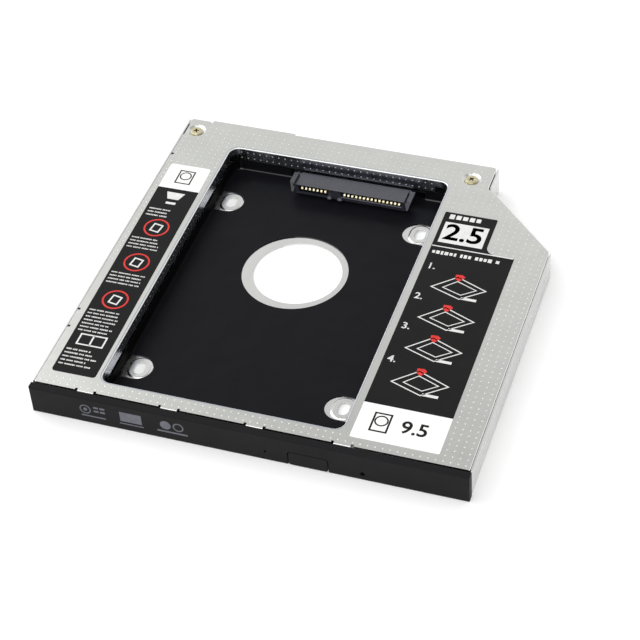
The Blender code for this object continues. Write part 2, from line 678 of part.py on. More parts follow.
def make_film():
    """Film: a sheet folded up at its edges, with cut-outs for the hole, the slots and the drive connector."""
    corners = rectangle(WINDOW_LEFT, WINDOW_RIGHT, back(WINDOW_FRONT),
                        back(WINDOW_FRONT) + WINDOW_LENGTH + FILM_REAR_SETBACK, WINDOW_RADIUS)
    top = BODY_HEIGHT - REAR_FLAP_DEPTH - FILM_WALL_GAP
    floor = SHEET + FILM
    fold = FILM_FOLD_RADIUS
    quarter = math.pi / 2
    outer = bend(fold + FILM, math.pi, quarter, fold, floor + fold)
    inner = bend(fold, quarter, math.pi, fold, floor + fold)
    film = loft("insulation_film", loops_along(corners, outer + [(-FILM, top), (0.0, top)] + inner))
    hole = circle(BAY_CENTRE_X + FILM_SHIFT_X, back(ROUND_HOLE_BACK), FILM_HOLE_RADIUS, 48)
    cut(film, prism("film_hole", hole, SHEET - FAR, floor + CLEARANCE))
    for number, (x, y) in enumerate(slot_centres(), 1):
        cut(film, film_cutout(number, x + FILM_SHIFT_X, y))
    reach = DRIVE_BODY_WIDTH / 2 + HORN_WIDTH + FILM_CONNECTOR_MARGIN
    left = CONNECTOR_X - reach
    right = CONNECTOR_X + reach
    rear = back(WINDOW_FRONT) + WINDOW_LENGTH + FILM_REAR_SETBACK
    cut(film, box("film_connector_cut", left, right, rear - fold, rear + FAR, floor, BODY_HEIGHT))
    finish(film, (0.012, 0.012, 0.014), 0.35)


def film_cutout(number, x, y):
    """Cutter for one cut-out that runs from a round end to the bay's side."""
    radius = FILM_CUTOUT_RADIUS
    away = -1 if x < BAY_CENTRE_X else 1
    side = WINDOW_LEFT + FILM_FOLD_RADIUS if away < 0 else WINDOW_RIGHT - FILM_FOLD_RADIUS
    steps = 16
    angles = [math.pi / 2 + math.pi * step / steps for step in range(steps + 1)]
    points = [(x + away * radius * math.cos(angle), y + radius * math.sin(angle)) for angle in angles]
    points += [(side, y - radius), (side, y + radius)]
    return prism(f"film_cutout_{number}", points, SHEET - FAR, SHEET + FILM + CLEARANCE)


def make_drive_connector():
    """Receptacle that the drive's plug slides into: upper and lower lips, a key rib and two guide horns."""
    front = back(DRIVE_FRONT_BACK)
    rear = front + DRIVE_BODY_DEPTH
    left = CONNECTOR_X - DRIVE_BODY_WIDTH / 2
    right = CONNECTOR_X + DRIVE_BODY_WIDTH / 2
    nose = HOUSING_WALL / 3
    body_profile = [
        (front + DRIVE_LIP_SETBACK, DRIVE_BOTTOM_Z),
        (rear, DRIVE_BOTTOM_Z),
        (rear, DRIVE_TOP_Z - nose),
        (rear - nose, DRIVE_TOP_Z),
        (front + nose, DRIVE_TOP_Z - nose),
        (front, DRIVE_TOP_Z - 2 * nose),
        (front, CAVITY_FLOOR_Z + CAVITY_HEIGHT),
        (front + DRIVE_LIP_SETBACK, CAVITY_FLOOR_Z + CAVITY_HEIGHT),
    ]
    housing = side_prism("drive_connector_housing", body_profile, left, right)
    ledge_high = BOARD_TOP_Z + CLEARANCE + CONTACT_THICKNESS + LEDGE_HEIGHT
    ledge_rear = rear + DRIVE_BODY_DEPTH / 2
    fuse(housing, box("connector_ledge", left, right, rear - nose, ledge_rear, BOARD_TOP_Z, ledge_high))
    for number, (side, edge) in enumerate(((-1, left), (1, right)), 1):
        fuse(housing, guide_horn(number, side, edge, front, rear))

    places = dict(contact_places())
    channel_high = CAVITY_FLOOR_Z + CONTACT_LIFT + CONTACT_THICKNESS + CONTACT_BUMP
    groups = (
        (places["drive_signal_contact_1"], places[f"drive_signal_contact_{SIGNAL_COUNT}"]),
        (places["drive_power_contact_1"], places[f"drive_power_contact_{POWER_COUNT}"]),
    )
    margin = DRIVE_CONTACT_WIDTH / 2 + CLEARANCE
    tunnel_front = front + DRIVE_BODY_DEPTH / 2
    for number, (first, last) in enumerate(groups, 1):
        x_low = first - CAVITY_SIDE_MARGIN
        x_high = last + CAVITY_SIDE_MARGIN
        cut(housing, box(f"cavity_{number}", x_low, x_high, front - FAR, rear - HOUSING_WALL, CAVITY_FLOOR_Z,
                         CAVITY_FLOOR_Z + CAVITY_HEIGHT))
        cut(housing, box(f"contact_tunnel_{number}", first - margin, last + margin, tunnel_front,
                         ledge_rear + FAR, BOARD_TOP_Z - CLEARANCE, channel_high))
    key_middle = (groups[0][1] + groups[1][0]) / 2
    cut(housing, box("key_slot", key_middle - KEY_WIDTH / 2, key_middle + KEY_WIDTH / 2, front - FAR,
                     rear - HOUSING_WALL, CAVITY_FLOOR_Z, CAVITY_FLOOR_Z + CAVITY_HEIGHT))
    finish(housing, (0.035, 0.037, 0.045), 0.3)


def guide_horn(number, side, edge, front, rear):
    """Horn beside the receptacle, longer than it and tapered at its tip."""
    inside = edge - side * HOUSING_WALL / 2
    outside = edge + side * HORN_WIDTH
    taper = HORN_WIDTH / 3
    low = CAVITY_FLOOR_Z - HOUSING_WALL / 2
    high = DRIVE_TOP_Z - taper / 2
    root = [(inside, low), (outside, low), (outside, high), (inside, high)]
    tip_out = outside - side * taper
    tip = [(inside, low + taper), (tip_out, low + taper), (tip_out, DRIVE_TOP_Z - 2 * taper),
           (inside, DRIVE_TOP_Z - 2 * taper)]
    loops = [
        [(x, rear, z) for x, z in root],
        [(x, front, z) for x, z in root],
        [(x, front - HORN_REACH, z) for x, z in tip],
    ]
    return loft(f"guide_horn_{number}", loops)


def contact_profile(points, thickness):
    """Closed (y, z) profile of a strip that follows a line of points, with its thickness above the line."""
    upper = [(y, z + thickness) for y, z in reversed(points)]
    return list(points) + upper


def make_drive_contacts():
    """Gold contacts: tails on the board that run forward along the cavity's floor to a raised nose."""
    front = back(DRIVE_FRONT_BACK)
    rear = front + DRIVE_BODY_DEPTH
    low = CAVITY_FLOOR_Z + CONTACT_LIFT
    start = front + DRIVE_LIP_SETBACK + CLEARANCE
    line = [
        (start, low),
        (start + CONTACT_BUMP, low + CONTACT_BUMP),
        (start + 2 * CONTACT_BUMP, low + CONTACT_BUMP),
        (start + 4 * CONTACT_BUMP, low),
        (rear - CLEARANCE, low),
        (rear + CLEARANCE, BOARD_TOP_Z),
        (rear + DRIVE_BODY_DEPTH / 2 + 2 * CLEARANCE, BOARD_TOP_Z),
    ]
    profile = contact_profile(line, CONTACT_THICKNESS)
    for name, x in contact_places():
        contact = side_prism(name, profile, x - DRIVE_CONTACT_WIDTH / 2, x + DRIVE_CONTACT_WIDTH / 2)
        finish(contact, (0.83, 0.6, 0.24), 0.25, 1.0)


def host_tongues():
    """X range of each tongue in the host plug."""
    places = dict(host_contact_places())
    margin = CAVITY_SIDE_MARGIN
    return (
        (places["host_signal_contact_1"] - margin, places[f"host_signal_contact_{SIGNAL_COUNT}"] + margin),
        (places["host_power_contact_1"] - margin, places[f"host_power_contact_{HOST_POWER_COUNT}"] + margin),
    )


def host_tongue_top():
    """Height of the tongues' upper faces, which carry the contacts."""
    return BOARD_TOP_Z + HOST_HEIGHT / 2 + TONGUE_THICKNESS / 2


def make_host_connector():
    """Plug that faces the laptop: a shroud open to the rear, with one tongue per contact group."""
    rear = back(BODY_DEPTH - HOST_REAR_SETBACK)
    front = rear - HOST_DEPTH
    left = HOST_X - HOST_WIDTH / 2
    right = HOST_X + HOST_WIDTH / 2
    top = BOARD_TOP_Z + HOST_HEIGHT
    housing = box("host_connector_housing", left, right, front, rear, BOARD_TOP_Z, top)
    cavity_front = rear - HOST_CAVITY_DEPTH
    cut(housing, box("host_cavity", left + HOUSING_WALL, right - HOUSING_WALL, cavity_front, rear + FAR,
                     BOARD_TOP_Z + HOUSING_WALL / 2, top - HOUSING_WALL / 2))
    tongue_top = host_tongue_top()
    for number, (x_low, x_high) in enumerate(host_tongues(), 1):
        fuse(housing, box(f"host_tongue_{number}", x_low, x_high, cavity_front - HOUSING_WALL / 2,
                          rear - TONGUE_TIP_SETBACK, tongue_top - TONGUE_THICKNESS, tongue_top))
        inset = CAVITY_SIDE_MARGIN / 2
        cut(housing, box(f"host_tunnel_{number}", x_low + inset, x_high - inset, front - FAR,
                         cavity_front + CLEARANCE, tongue_top, tongue_top + CONTACT_THICKNESS + CLEARANCE))
    finish(housing, (0.02, 0.02, 0.022), 0.4)


def make_host_contacts():
    """Gold strips along the tongues, bent down to the board in front of the housing."""
    rear = back(BODY_DEPTH - HOST_REAR_SETBACK)
    front = rear - HOST_DEPTH
    top = host_tongue_top()
    outer = front - CLEARANCE - CONTACT_THICKNESS
    inner = front - CLEARANCE
    foot = outer - CLEARANCE
    tip = rear - TONGUE_TIP_SETBACK - CLEARANCE
    profile = [
        (tip, top),
        (inner, top),
        (inner, BOARD_TOP_Z),
        (foot, BOARD_TOP_Z),
        (foot, BOARD_TOP_Z + CONTACT_THICKNESS),
        (outer, BOARD_TOP_Z + CONTACT_THICKNESS),
        (outer, top + CONTACT_THICKNESS),
        (tip, top + CONTACT_THICKNESS),
    ]
    for name, x in host_contact_places():
        contact = side_prism(name, profile, x - HOST_CONTACT_WIDTH / 2, x + HOST_CONTACT_WIDTH / 2)
        finish(contact, (0.83, 0.6, 0.24), 0.25, 1.0)


def make_board():
    """Board behind the bay, with a nose that reaches forward to the drive connector."""
    inside = SHEET + CLEARANCE
    left = BODY_LEFT + inside
    rear = back(BODY_DEPTH - SHEET - BOARD_EDGE_GAP)
    board = box("circuit_board", left, BOARD_RIGHT_X, back(BOARD_FRONT_BACK), rear, BOARD_BOTTOM_Z,
                BOARD_TOP_Z)
    nose_left = CONNECTOR_X - DRIVE_BODY_WIDTH / 2
    nose_right = CONNECTOR_X + DRIVE_BODY_WIDTH / 2
    nose_front = back(DRIVE_FRONT_BACK) + DRIVE_BODY_DEPTH + CLEARANCE
    fuse(board, box("board_nose", nose_left, nose_right, nose_front, back(BOARD_FRONT_BACK + BOARD_EDGE_GAP),
                    BOARD_BOTTOM_Z, BOARD_TOP_Z))
    for name, x, y in screw_places():
        hole = circle(x, y, POST_RADIUS + CLEARANCE, 20)
        cut(board, prism(f"{name}_board_hole", hole, BOARD_BOTTOM_Z - FAR, BOARD_TOP_Z + FAR))
    finish(board, (0.02, 0.16, 0.07), 0.45)


def make_capacitors():
    """Chip capacitors between the two connectors."""
    length, width, height = CAPACITOR_SIZE
    middle = back(BOARD_FRONT_BACK) + 2 * width
    for index in range(CAPACITOR_COUNT):
        x = FIRST_CAPACITOR_X + CAPACITOR_PITCH * index
        item = box(f"capacitor_{index + 1}", x - length / 2, x + length / 2, middle - width / 2,
                   middle + width / 2, BOARD_TOP_Z, BOARD_TOP_Z + height)
        finish(item, (0.36, 0.25, 0.16), 0.5)


def make_screws():
    """Cross-recess screws, and the threaded posts that they and the board rest on."""
    seat_z = BODY_HEIGHT - SEAT_DEPTH
    post_top = COVER_UNDER_Z - SEAT_DEPTH
    for name, x, y in screw_places():
        rings = [
            (SCREW_SHANK_RADIUS, seat_z - SCREW_LENGTH),
            (SCREW_SHANK_RADIUS, seat_z),
            (SCREW_HEAD_RADIUS, seat_z),
            (SCREW_HEAD_RADIUS, seat_z + SCREW_HEAD_HEIGHT - SCREW_DOME),
            (SCREW_HEAD_RADIUS - SCREW_DOME, seat_z + SCREW_HEAD_HEIGHT),
        ]
        screw = loft(f"{name}_screw", [[(px, py, z) for px, py in circle(x, y, r, 24)] for r, z in rings])
        arm = CROSS_SPAN / 2
        half = CROSS_SLOT / 2
        cross = [(-arm, -half), (-half, -half), (-half, -arm), (half, -arm), (half, -half), (arm, -half),
                 (arm, half), (half, half), (half, arm), (-half, arm), (-half, half), (-arm, half)]
        top = seat_z + SCREW_HEAD_HEIGHT
        recess = [(x + px, y + py) for px, py in cross]
        cut(screw, prism(f"{name}_cross", recess, top - CROSS_DEPTH, top + FAR))
        finish(screw, (0.72, 0.57, 0.27), 0.32, 1.0)

        rings = [
            (POST_SHOULDER_RADIUS, SHEET),
            (POST_SHOULDER_RADIUS, BOARD_BOTTOM_Z),
            (POST_RADIUS, BOARD_BOTTOM_Z),
            (POST_RADIUS, post_top),
        ]
        post = loft(f"{name}_standoff", [[(px, py, z) for px, py in circle(x, y, r, 20)] for r, z in rings])
        bore_low = seat_z - SCREW_LENGTH - CLEARANCE
        cut(post, prism(f"{name}_bore", circle(x, y, POST_BORE_RADIUS, 16), bore_low, post_top + FAR))
        finish(post, (0.55, 0.5, 0.4), 0.35, 1.0)


def make_bezel():
    """Bezel: a plate with a rim, three hooks, the button's opening and the pin hole."""
    front = back(-BEZEL_THICKNESS)
    plate_back = front + BEZEL_PLATE
    profile = [
        (front, BEZEL_EDGE),
        (front + BEZEL_EDGE, 0.0),
        (back(0.0), 0.0),
        (back(0.0), BODY_HEIGHT),
        (front + BEZEL_EDGE, BODY_HEIGHT),
        (front, BODY_HEIGHT - BEZEL_EDGE),
    ]
    bezel = side_prism("front_bezel", profile, BODY_LEFT, BODY_RIGHT)
    cut(bezel, box("bezel_hollow", BODY_LEFT + BEZEL_RIM, BODY_RIGHT - BEZEL_RIM, plate_back, back(FAR),
                   BEZEL_RIM, BODY_HEIGHT - BEZEL_RIM))
    for number, x in enumerate(HOOK_PLACES_X, 1):
        fuse(bezel, bezel_hook(number, x, plate_back))
    reach = BUTTON_WIDTH / 2 + CLEARANCE
    opening = outline(rectangle(BUTTON_X - reach, BUTTON_X + reach, -FAR, BUTTON_TOP_Z + CLEARANCE,
                                BUTTON_CORNER + CLEARANCE))
    loops = [[(x, y, z) for x, z in opening] for y in (front - FAR, plate_back + CLEARANCE)]
    cut(bezel, loft("button_opening", loops))
    reach = BUTTON_WIDTH / 2 + BUTTON_WING + CLEARANCE
    cut(bezel, box("button_rim_cut", BUTTON_X - reach, BUTTON_X + reach, plate_back, back(FAR), -FAR,
                   BEZEL_RIM + CLEARANCE))
    pin = circle(PIN_HOLE_X, PIN_HOLE_Z, PIN_HOLE_RADIUS, 16)
    cut(bezel, loft("pin_hole", [[(x, y, z) for x, z in pin] for y in (front - FAR, plate_back + CLEARANCE)]))
    middle = back(-CLEARANCE) - END_MARK / 2
    cut(bezel, box("end_mark", BODY_RIGHT - END_MARK / 2, BODY_RIGHT + FAR, middle - END_MARK / 2,
                   middle + END_MARK / 2, END_MARK_Z - END_MARK / 2, END_MARK_Z + END_MARK / 2))
    finish(bezel, (0.022, 0.022, 0.024), 0.45)


def bezel_hook(number, x, plate_back):
    """Hook that snaps behind the tray's front wall."""
    low = HOOK_BOTTOM_Z
    high = low + HOOK_THICKNESS
    catch = back(SHEET + CLEARANCE)
    profile = [
        (plate_back - BEZEL_PLATE / 3, low),
        (catch + HOOK_BARB_LENGTH, low),
        (catch + HOOK_BARB_LENGTH, high - HOOK_BARB / 2),
        (catch + HOOK_BARB, high + HOOK_BARB),
        (catch, high + HOOK_BARB),
        (catch, high),
        (plate_back - BEZEL_PLATE / 3, high),
    ]
    return side_prism(f"hook_{number}", profile, x - HOOK_WIDTH / 2, x + HOOK_WIDTH / 2)


def make_button():
    """Button in the bezel, with wings behind the plate that keep it in."""
    front = back(-BEZEL_THICKNESS)
    half = BUTTON_WIDTH / 2
    corners = rectangle(BUTTON_X - half, BUTTON_X + half, BUTTON_BOTTOM_Z, BUTTON_TOP_Z, BUTTON_CORNER)
    face = outline(corners)
    inner = outline(corners, BUTTON_EDGE)
    wing_front = front + BEZEL_PLATE + CLEARANCE
    rings = ((inner, front), (face, front + BUTTON_EDGE), (face, wing_front + BUTTON_WING_THICKNESS / 3))
    button = loft("eject_button", [[(x, y, z) for x, z in points] for points, y in rings])
    reach = half + BUTTON_WING
    fuse(button, box("button_wings", BUTTON_X - reach, BUTTON_X + reach, wing_front,
                     wing_front + BUTTON_WING_THICKNESS, BUTTON_WING_LOW_Z, BUTTON_WING_HIGH_Z))
    finish(button, (0.022, 0.022, 0.024), 0.42)


def make_labels():
    """Stickers on the cover, left and right of the window."""
    half = LEFT_LABEL_WIDTH / 2
    middle = back(LEFT_LABEL_FRONT + LEFT_LABEL_LENGTH / 2)
    reach = LEFT_LABEL_LENGTH / 2
    cosine = math.cos(LEFT_LABEL_TURN)
    sine = math.sin(LEFT_LABEL_TURN)
    corners = [(x * cosine - y * sine + LEFT_LABEL_X, x * sine + y * cosine + middle, radius)
               for x, y, radius in rectangle(-half, half, -reach, reach, LABEL_CORNER)]
    left = prism("left_label", outline(corners), BODY_HEIGHT, BODY_HEIGHT + LABEL)
    finish(left, (0.03, 0.03, 0.03), 0.4)

    x_low = RIGHT_LABEL_LEFT
    x_head = x_low + RIGHT_HEAD_WIDTH
    x_high = x_low + RIGHT_LABEL_WIDTH
    y_low = back(RIGHT_LABEL_FRONT)
    y_mid = y_low + RIGHT_LABEL_LENGTH
    y_high = y_mid + RIGHT_HEAD_LENGTH
    small = RIGHT_LABEL_CORNER
    corners = [(x_low, y_low, small), (x_high, y_low, small), (x_high, y_mid, small),
               (x_head, y_mid, RIGHT_HEAD_FILLET), (x_head, y_high, small), (x_low, y_high, small)]
    right = prism("right_label", outline(corners), BODY_HEIGHT, BODY_HEIGHT + LABEL)
    finish(right, (0.03, 0.03, 0.03), 0.4)


def main():
    """Clears the scene and builds every piece."""
    for item in list(bpy.data.objects):
        bpy.data.objects.remove(item, do_unlink=True)
    make_tray()
    make_film()
    make_board()
    make_drive_connector()
    make_drive_contacts()
    make_host_connector()
    make_host_contacts()
    make_capacitors()
    make_cover()
    make_screws()
    make_bezel()
    make_button()
    make_labels()


main()
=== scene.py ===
"""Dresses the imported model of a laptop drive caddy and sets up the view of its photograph.

Every size in the classes is in millimetres: x from the middle of the bezel, y backwards from the seam between
the bezel and the metal body, and z up from the surface that the caddy lies on.
"""

from __future__ import annotations

import logging
import math
import random
from collections.abc import Callable, Sequence
from dataclasses import dataclass
from enum import Enum

import bmesh
import bpy
from mathutils import Matrix, Vector


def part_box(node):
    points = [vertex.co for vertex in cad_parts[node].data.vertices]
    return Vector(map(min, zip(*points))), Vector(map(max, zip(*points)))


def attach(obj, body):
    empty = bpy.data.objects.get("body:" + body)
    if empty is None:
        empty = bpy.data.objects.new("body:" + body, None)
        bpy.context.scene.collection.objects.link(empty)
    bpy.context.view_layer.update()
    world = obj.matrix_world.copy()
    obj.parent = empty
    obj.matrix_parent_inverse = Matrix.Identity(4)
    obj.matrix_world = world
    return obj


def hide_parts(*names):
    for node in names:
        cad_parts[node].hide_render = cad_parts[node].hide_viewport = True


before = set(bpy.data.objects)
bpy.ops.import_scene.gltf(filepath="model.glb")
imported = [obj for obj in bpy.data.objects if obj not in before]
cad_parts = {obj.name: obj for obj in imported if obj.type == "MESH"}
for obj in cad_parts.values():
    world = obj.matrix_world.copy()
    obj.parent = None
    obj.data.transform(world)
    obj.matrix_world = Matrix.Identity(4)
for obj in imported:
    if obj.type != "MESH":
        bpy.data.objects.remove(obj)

MM = 0.001
SEAM_Y = -61.2
# How close counts as the same place, how far a tool reaches out of the piece, and the strip beside a fold that
# keeps the flat face's shading flat
NEAR = 1e-3
CLEAR = 5.0
FLAT_MARGIN = 0.12
SMOOTH_ANGLE = 35.0
LOG = logging.getLogger("caddy")

Point = tuple[float, float]
Test = Callable[[Vector, Vector], bool]

# Places that two pieces share
TONGUES = (-47.6, -22.45, 2.7, 27.85)
HOOKS = (-57.0, -10.0, 57.0)
SCREWS: tuple[Point, Point] = ((-59.7, 118.8), (32.3, 117.2))


# ---------------------------------------------------------------- bench tools


def place(x: float, y: float, z: float) -> Vector:
    """Turns a place in millimetres, with y counted from the seam, into metres in the model's frame.

    Args:
        x: Distance to the right of the bezel's middle.
        y: Distance behind the seam.
        z: Height.

    Returns:
        The place in metres.
    """
    return Vector((x, y + SEAM_Y, z)) * MM


def rest() -> None:
    """Leaves edit mode and deselects everything."""
    if bpy.context.object and bpy.context.object.mode != "OBJECT":
        bpy.ops.object.mode_set(mode="OBJECT")
    bpy.ops.object.select_all(action="DESELECT")


def hold(piece: bpy.types.Object) -> None:
    """Makes the piece the active object and the only selected one.

    Args:
        piece: The object to hold.
    """
    rest()
    piece.select_set(True)
    bpy.context.view_layer.objects.active = piece


def settle(name: str) -> bpy.types.Object:
    """Names the object that was just added and applies its place to its mesh.

    Args:
        name: The piece's name.

    Returns:
        The settled object.
    """
    piece = bpy.context.object
    piece.name = name
    piece.data.name = name
    bpy.ops.object.transform_apply(location=True, rotation=True, scale=True)
    return piece


def block(name: str, x: Point, y: Point, z: Point) -> bpy.types.Object:
    """Adds a cube primitive that fills three ranges.

    Args:
        name: The piece's name.
        x: Lowest and highest x.
        y: Lowest and highest y.
        z: Lowest and highest z.

    Returns:
        The block.
    """
    low = place(x[0], y[0], z[0])
    high = place(x[1], y[1], z[1])
    rest()
    bpy.ops.mesh.primitive_cube_add(size=1.0, location=(low + high) / 2, scale=high - low)
    return settle(name)


def drum(name: str, at: Point, radii: Point, z: Point, sides: int = 48) -> bpy.types.Object:
    """Adds an upright cone primitive between two heights.

    Args:
        name: The piece's name.
        at: Its middle in plan.
        radii: Radius at the lower and at the upper end.
        z: Lowest and highest z.
        sides: Number of sides.

    Returns:
        The drum.
    """
    middle = place(at[0], at[1], (z[0] + z[1]) / 2)
    rest()
    bpy.ops.mesh.primitive_cone_add(vertices=sides, radius1=radii[0] * MM, radius2=radii[1] * MM,
                                    depth=(z[1] - z[0]) * MM, location=middle)
    return settle(name)


def choose(piece: bpy.types.Object, kind: str, test: Test) -> int:
    """Selects, in edit mode, only the elements whose middle and direction pass a test.

    Args:
        piece: The object whose mesh is edited.
        kind: "VERT", "EDGE" or "FACE".
        test: Gets the middle in millimetres, with y from the seam, and the normal, or an edge's direction.

    Returns:
        How many elements were selected.
    """
    if piece.mode != "EDIT":
        hold(piece)
        bpy.ops.object.mode_set(mode="EDIT")
    bpy.ops.mesh.select_mode(type=kind)
    bpy.ops.mesh.select_all(action="DESELECT")
    mesh = bmesh.from_edit_mesh(piece.data)
    found = 0
    for item in {"VERT": mesh.verts, "EDGE": mesh.edges, "FACE": mesh.faces}[kind]:
        if kind == "VERT":
            middle, way = item.co, item.normal
        elif kind == "EDGE":
            ends = [vert.co for vert in item.verts]
            middle, way = (ends[0] + ends[1]) / 2, (ends[1] - ends[0]).normalized()
        else:
            middle, way = item.calc_center_median(), item.normal
        middle = middle / MM
        chosen = test(Vector((middle.x, middle.y - SEAM_Y, middle.z)), way)
        item.select_set(chosen)
        found += chosen
    bmesh.update_edit_mesh(piece.data)
    return found


def level(z: float, facing: float = 0.0) -> Test:
    """Makes a test for what lies at a height.

    Args:
        z: The height.
        facing: 1 for faces that point up, -1 for those that point down, 0 for both.

    Returns:
        The test, for choose.
    """
    return lambda middle, way: abs(middle.z - z) < NEAR and (not facing or way.z * facing > 0.9)


def choose_widest(piece: bpy.types.Object, z: float, up: bool = True) -> None:
    """Selects, in edit mode, the largest flat face at a height.

    Args:
        piece: The object whose mesh is edited.
        z: Height of the face.
        up: Whether it points up.
    """
    choose(piece, "FACE", level(z, 1.0 if up else -1.0))
    mesh = bmesh.from_edit_mesh(piece.data)
    found = [face for face in mesh.faces if face.select]
    widest = max(found, key=lambda face: face.calc_area())
    for face in found:
        face.select_set(face == widest)
    bmesh.update_edit_mesh(piece.data)


def remove(piece: bpy.types.Object, kind: str, test: Test) -> None:
    """Deletes, in edit mode, the elements that pass a test.

    Args:
        piece: The object whose mesh is edited.
        kind: "VERT" or "FACE".
        test: As for choose.
    """
    if choose(piece, kind, test):
        bpy.ops.mesh.delete(type=kind)


def nudge(piece: bpy.types.Object, test: Test, step: Sequence[float]) -> None:
    """Moves the corners that pass a test.

    Args:
        piece: The object whose mesh is edited.
        test: As for choose.
        step: The move in millimetres.
    """
    choose(piece, "VERT", test)
    bpy.ops.transform.translate(value=[part * MM for part in step])
    bpy.ops.object.mode_set(mode="OBJECT")


def bevel(piece: bpy.types.Object, test: Test, width: float, segments: int, profile: float = 0.5) -> None:
    """Rounds the edges that pass a test.

    Args:
        piece: The object whose mesh is edited.
        test: As for choose.
        width: Width of the rounding in millimetres.
        segments: Number of segments across it.
        profile: Its shape, 0.5 for a round one.
    """
    choose(piece, "EDGE", test)
    bpy.ops.mesh.bevel(offset=width * MM, segments=segments, profile=profile, affect="EDGES")
    bpy.ops.object.mode_set(mode="OBJECT")


def step_up(piece: bpy.types.Object, height: float, steps: Sequence[Point]) -> None:
    """Presses the top face up in steps, each a little smaller than the last.

    Args:
        piece: The solid whose top is pressed.
        height: Height of its top.
        steps: Inset and rise of each step.
    """
    for across, rise in steps:
        choose(piece, "FACE", level(height, 1.0))
        bpy.ops.mesh.inset(thickness=across * MM, depth=rise * MM)
        height += rise
    bpy.ops.object.mode_set(mode="OBJECT")


def finish_with(piece: bpy.types.Object, kind: str, **settings: object) -> None:
    """Adds a modifier and applies it.

    Args:
        piece: The object that is changed.
        kind: The modifier's type.
        settings: Its attributes by name.
    """
    hold(piece)
    change = piece.modifiers.new(kind.lower(), kind)
    for key, value in settings.items():
        setattr(change, key, value)
    bpy.ops.object.modifier_apply(modifier=change.name)


def carve(piece: bpy.types.Object, *tools: bpy.types.Object, operation: str = "DIFFERENCE") -> None:
    """Applies a Boolean with each tool and removes the tool.

    Args:
        piece: The object that is changed.
        tools: Closed solids.
        operation: "DIFFERENCE" or "UNION".
    """
    for tool in tools:
        finish_with(piece, "BOOLEAN", operation=operation, solver="EXACT", object=tool)
        bpy.data.objects.remove(tool, do_unlink=True)


def thicken(piece: bpy.types.Object, thickness: float) -> None:
    """Gives an open sheet its wall, on the side that its faces point away from.

    Args:
        piece: The sheet.
        thickness: Wall thickness in millimetres.
    """
    finish_with(piece, "SOLIDIFY", thickness=thickness * MM, offset=-1.0, use_even_offset=True)


def round_edges(piece: bpy.types.Object, width: float, angle: float = 40.0) -> None:
    """Rounds every edge that is sharper than an angle.

    Args:
        piece: The object to finish.
        width: Width of the rounding in millimetres.
        angle: Least angle in degrees between the faces of an edge.
    """
    finish_with(piece, "BEVEL", width=width * MM, segments=2, limit_method="ANGLE",
                angle_limit=math.radians(angle), harden_normals=False)


def smooth(piece: bpy.types.Object) -> None:
    """Shades the piece smooth, with its sharper edges kept.

    Args:
        piece: The object to shade.
    """
    hold(piece)
    bpy.ops.object.shade_smooth_by_angle(angle=math.radians(SMOOTH_ANGLE))
    finish_with(piece, "WEIGHTED_NORMAL", keep_sharp=True, weight=90)


def repeat(piece: bpy.types.Object, count: int, step: Sequence[float]) -> None:
    """Copies a piece in a row.

    Args:
        piece: The first of the row, which becomes the whole row.
        count: How many there are in the end.
        step: Distance from one to the next in millimetres.
    """
    finish_with(piece, "ARRAY", count=count, use_relative_offset=False, use_constant_offset=True,
                constant_offset_displace=[part * MM for part in step])


def join(name: str, pieces: Sequence[bpy.types.Object]) -> bpy.types.Object:
    """Joins several objects into one.

    Args:
        name: The joined piece's name.
        pieces: The objects.

    Returns:
        The joined object.
    """
    hold(pieces[0])
    for piece in pieces:
        piece.select_set(True)
    if len(pieces) > 1:
        bpy.ops.object.join()
    pieces[0].name = name
    pieces[0].data.name = name
    return pieces[0]


def inside(point: Vector, corners: Sequence[Point]) -> bool:
    """Tells whether a point lies in a plan outline.

    Args:
        point: The point, of which only x and y count.
        corners: The outline's corners in order.

    Returns:
        True if it is inside.
    """
    found = False
    for index, (x, y) in enumerate(corners):
        before_x, before_y = corners[index - 1]
        if (y > point.y) != (before_y > point.y):
            cross = x + (point.y - y) * (before_x - x) / (before_y - y)
            found = found != (point.x < cross)
    return found


def oblong(x: Point, y: Point) -> list[Point]:
    """Gives the corners of an upright rectangle in plan, counter-clockwise."""
    return [(x[0], y[0]), (x[1], y[0]), (x[1], y[1]), (x[0], y[1])]


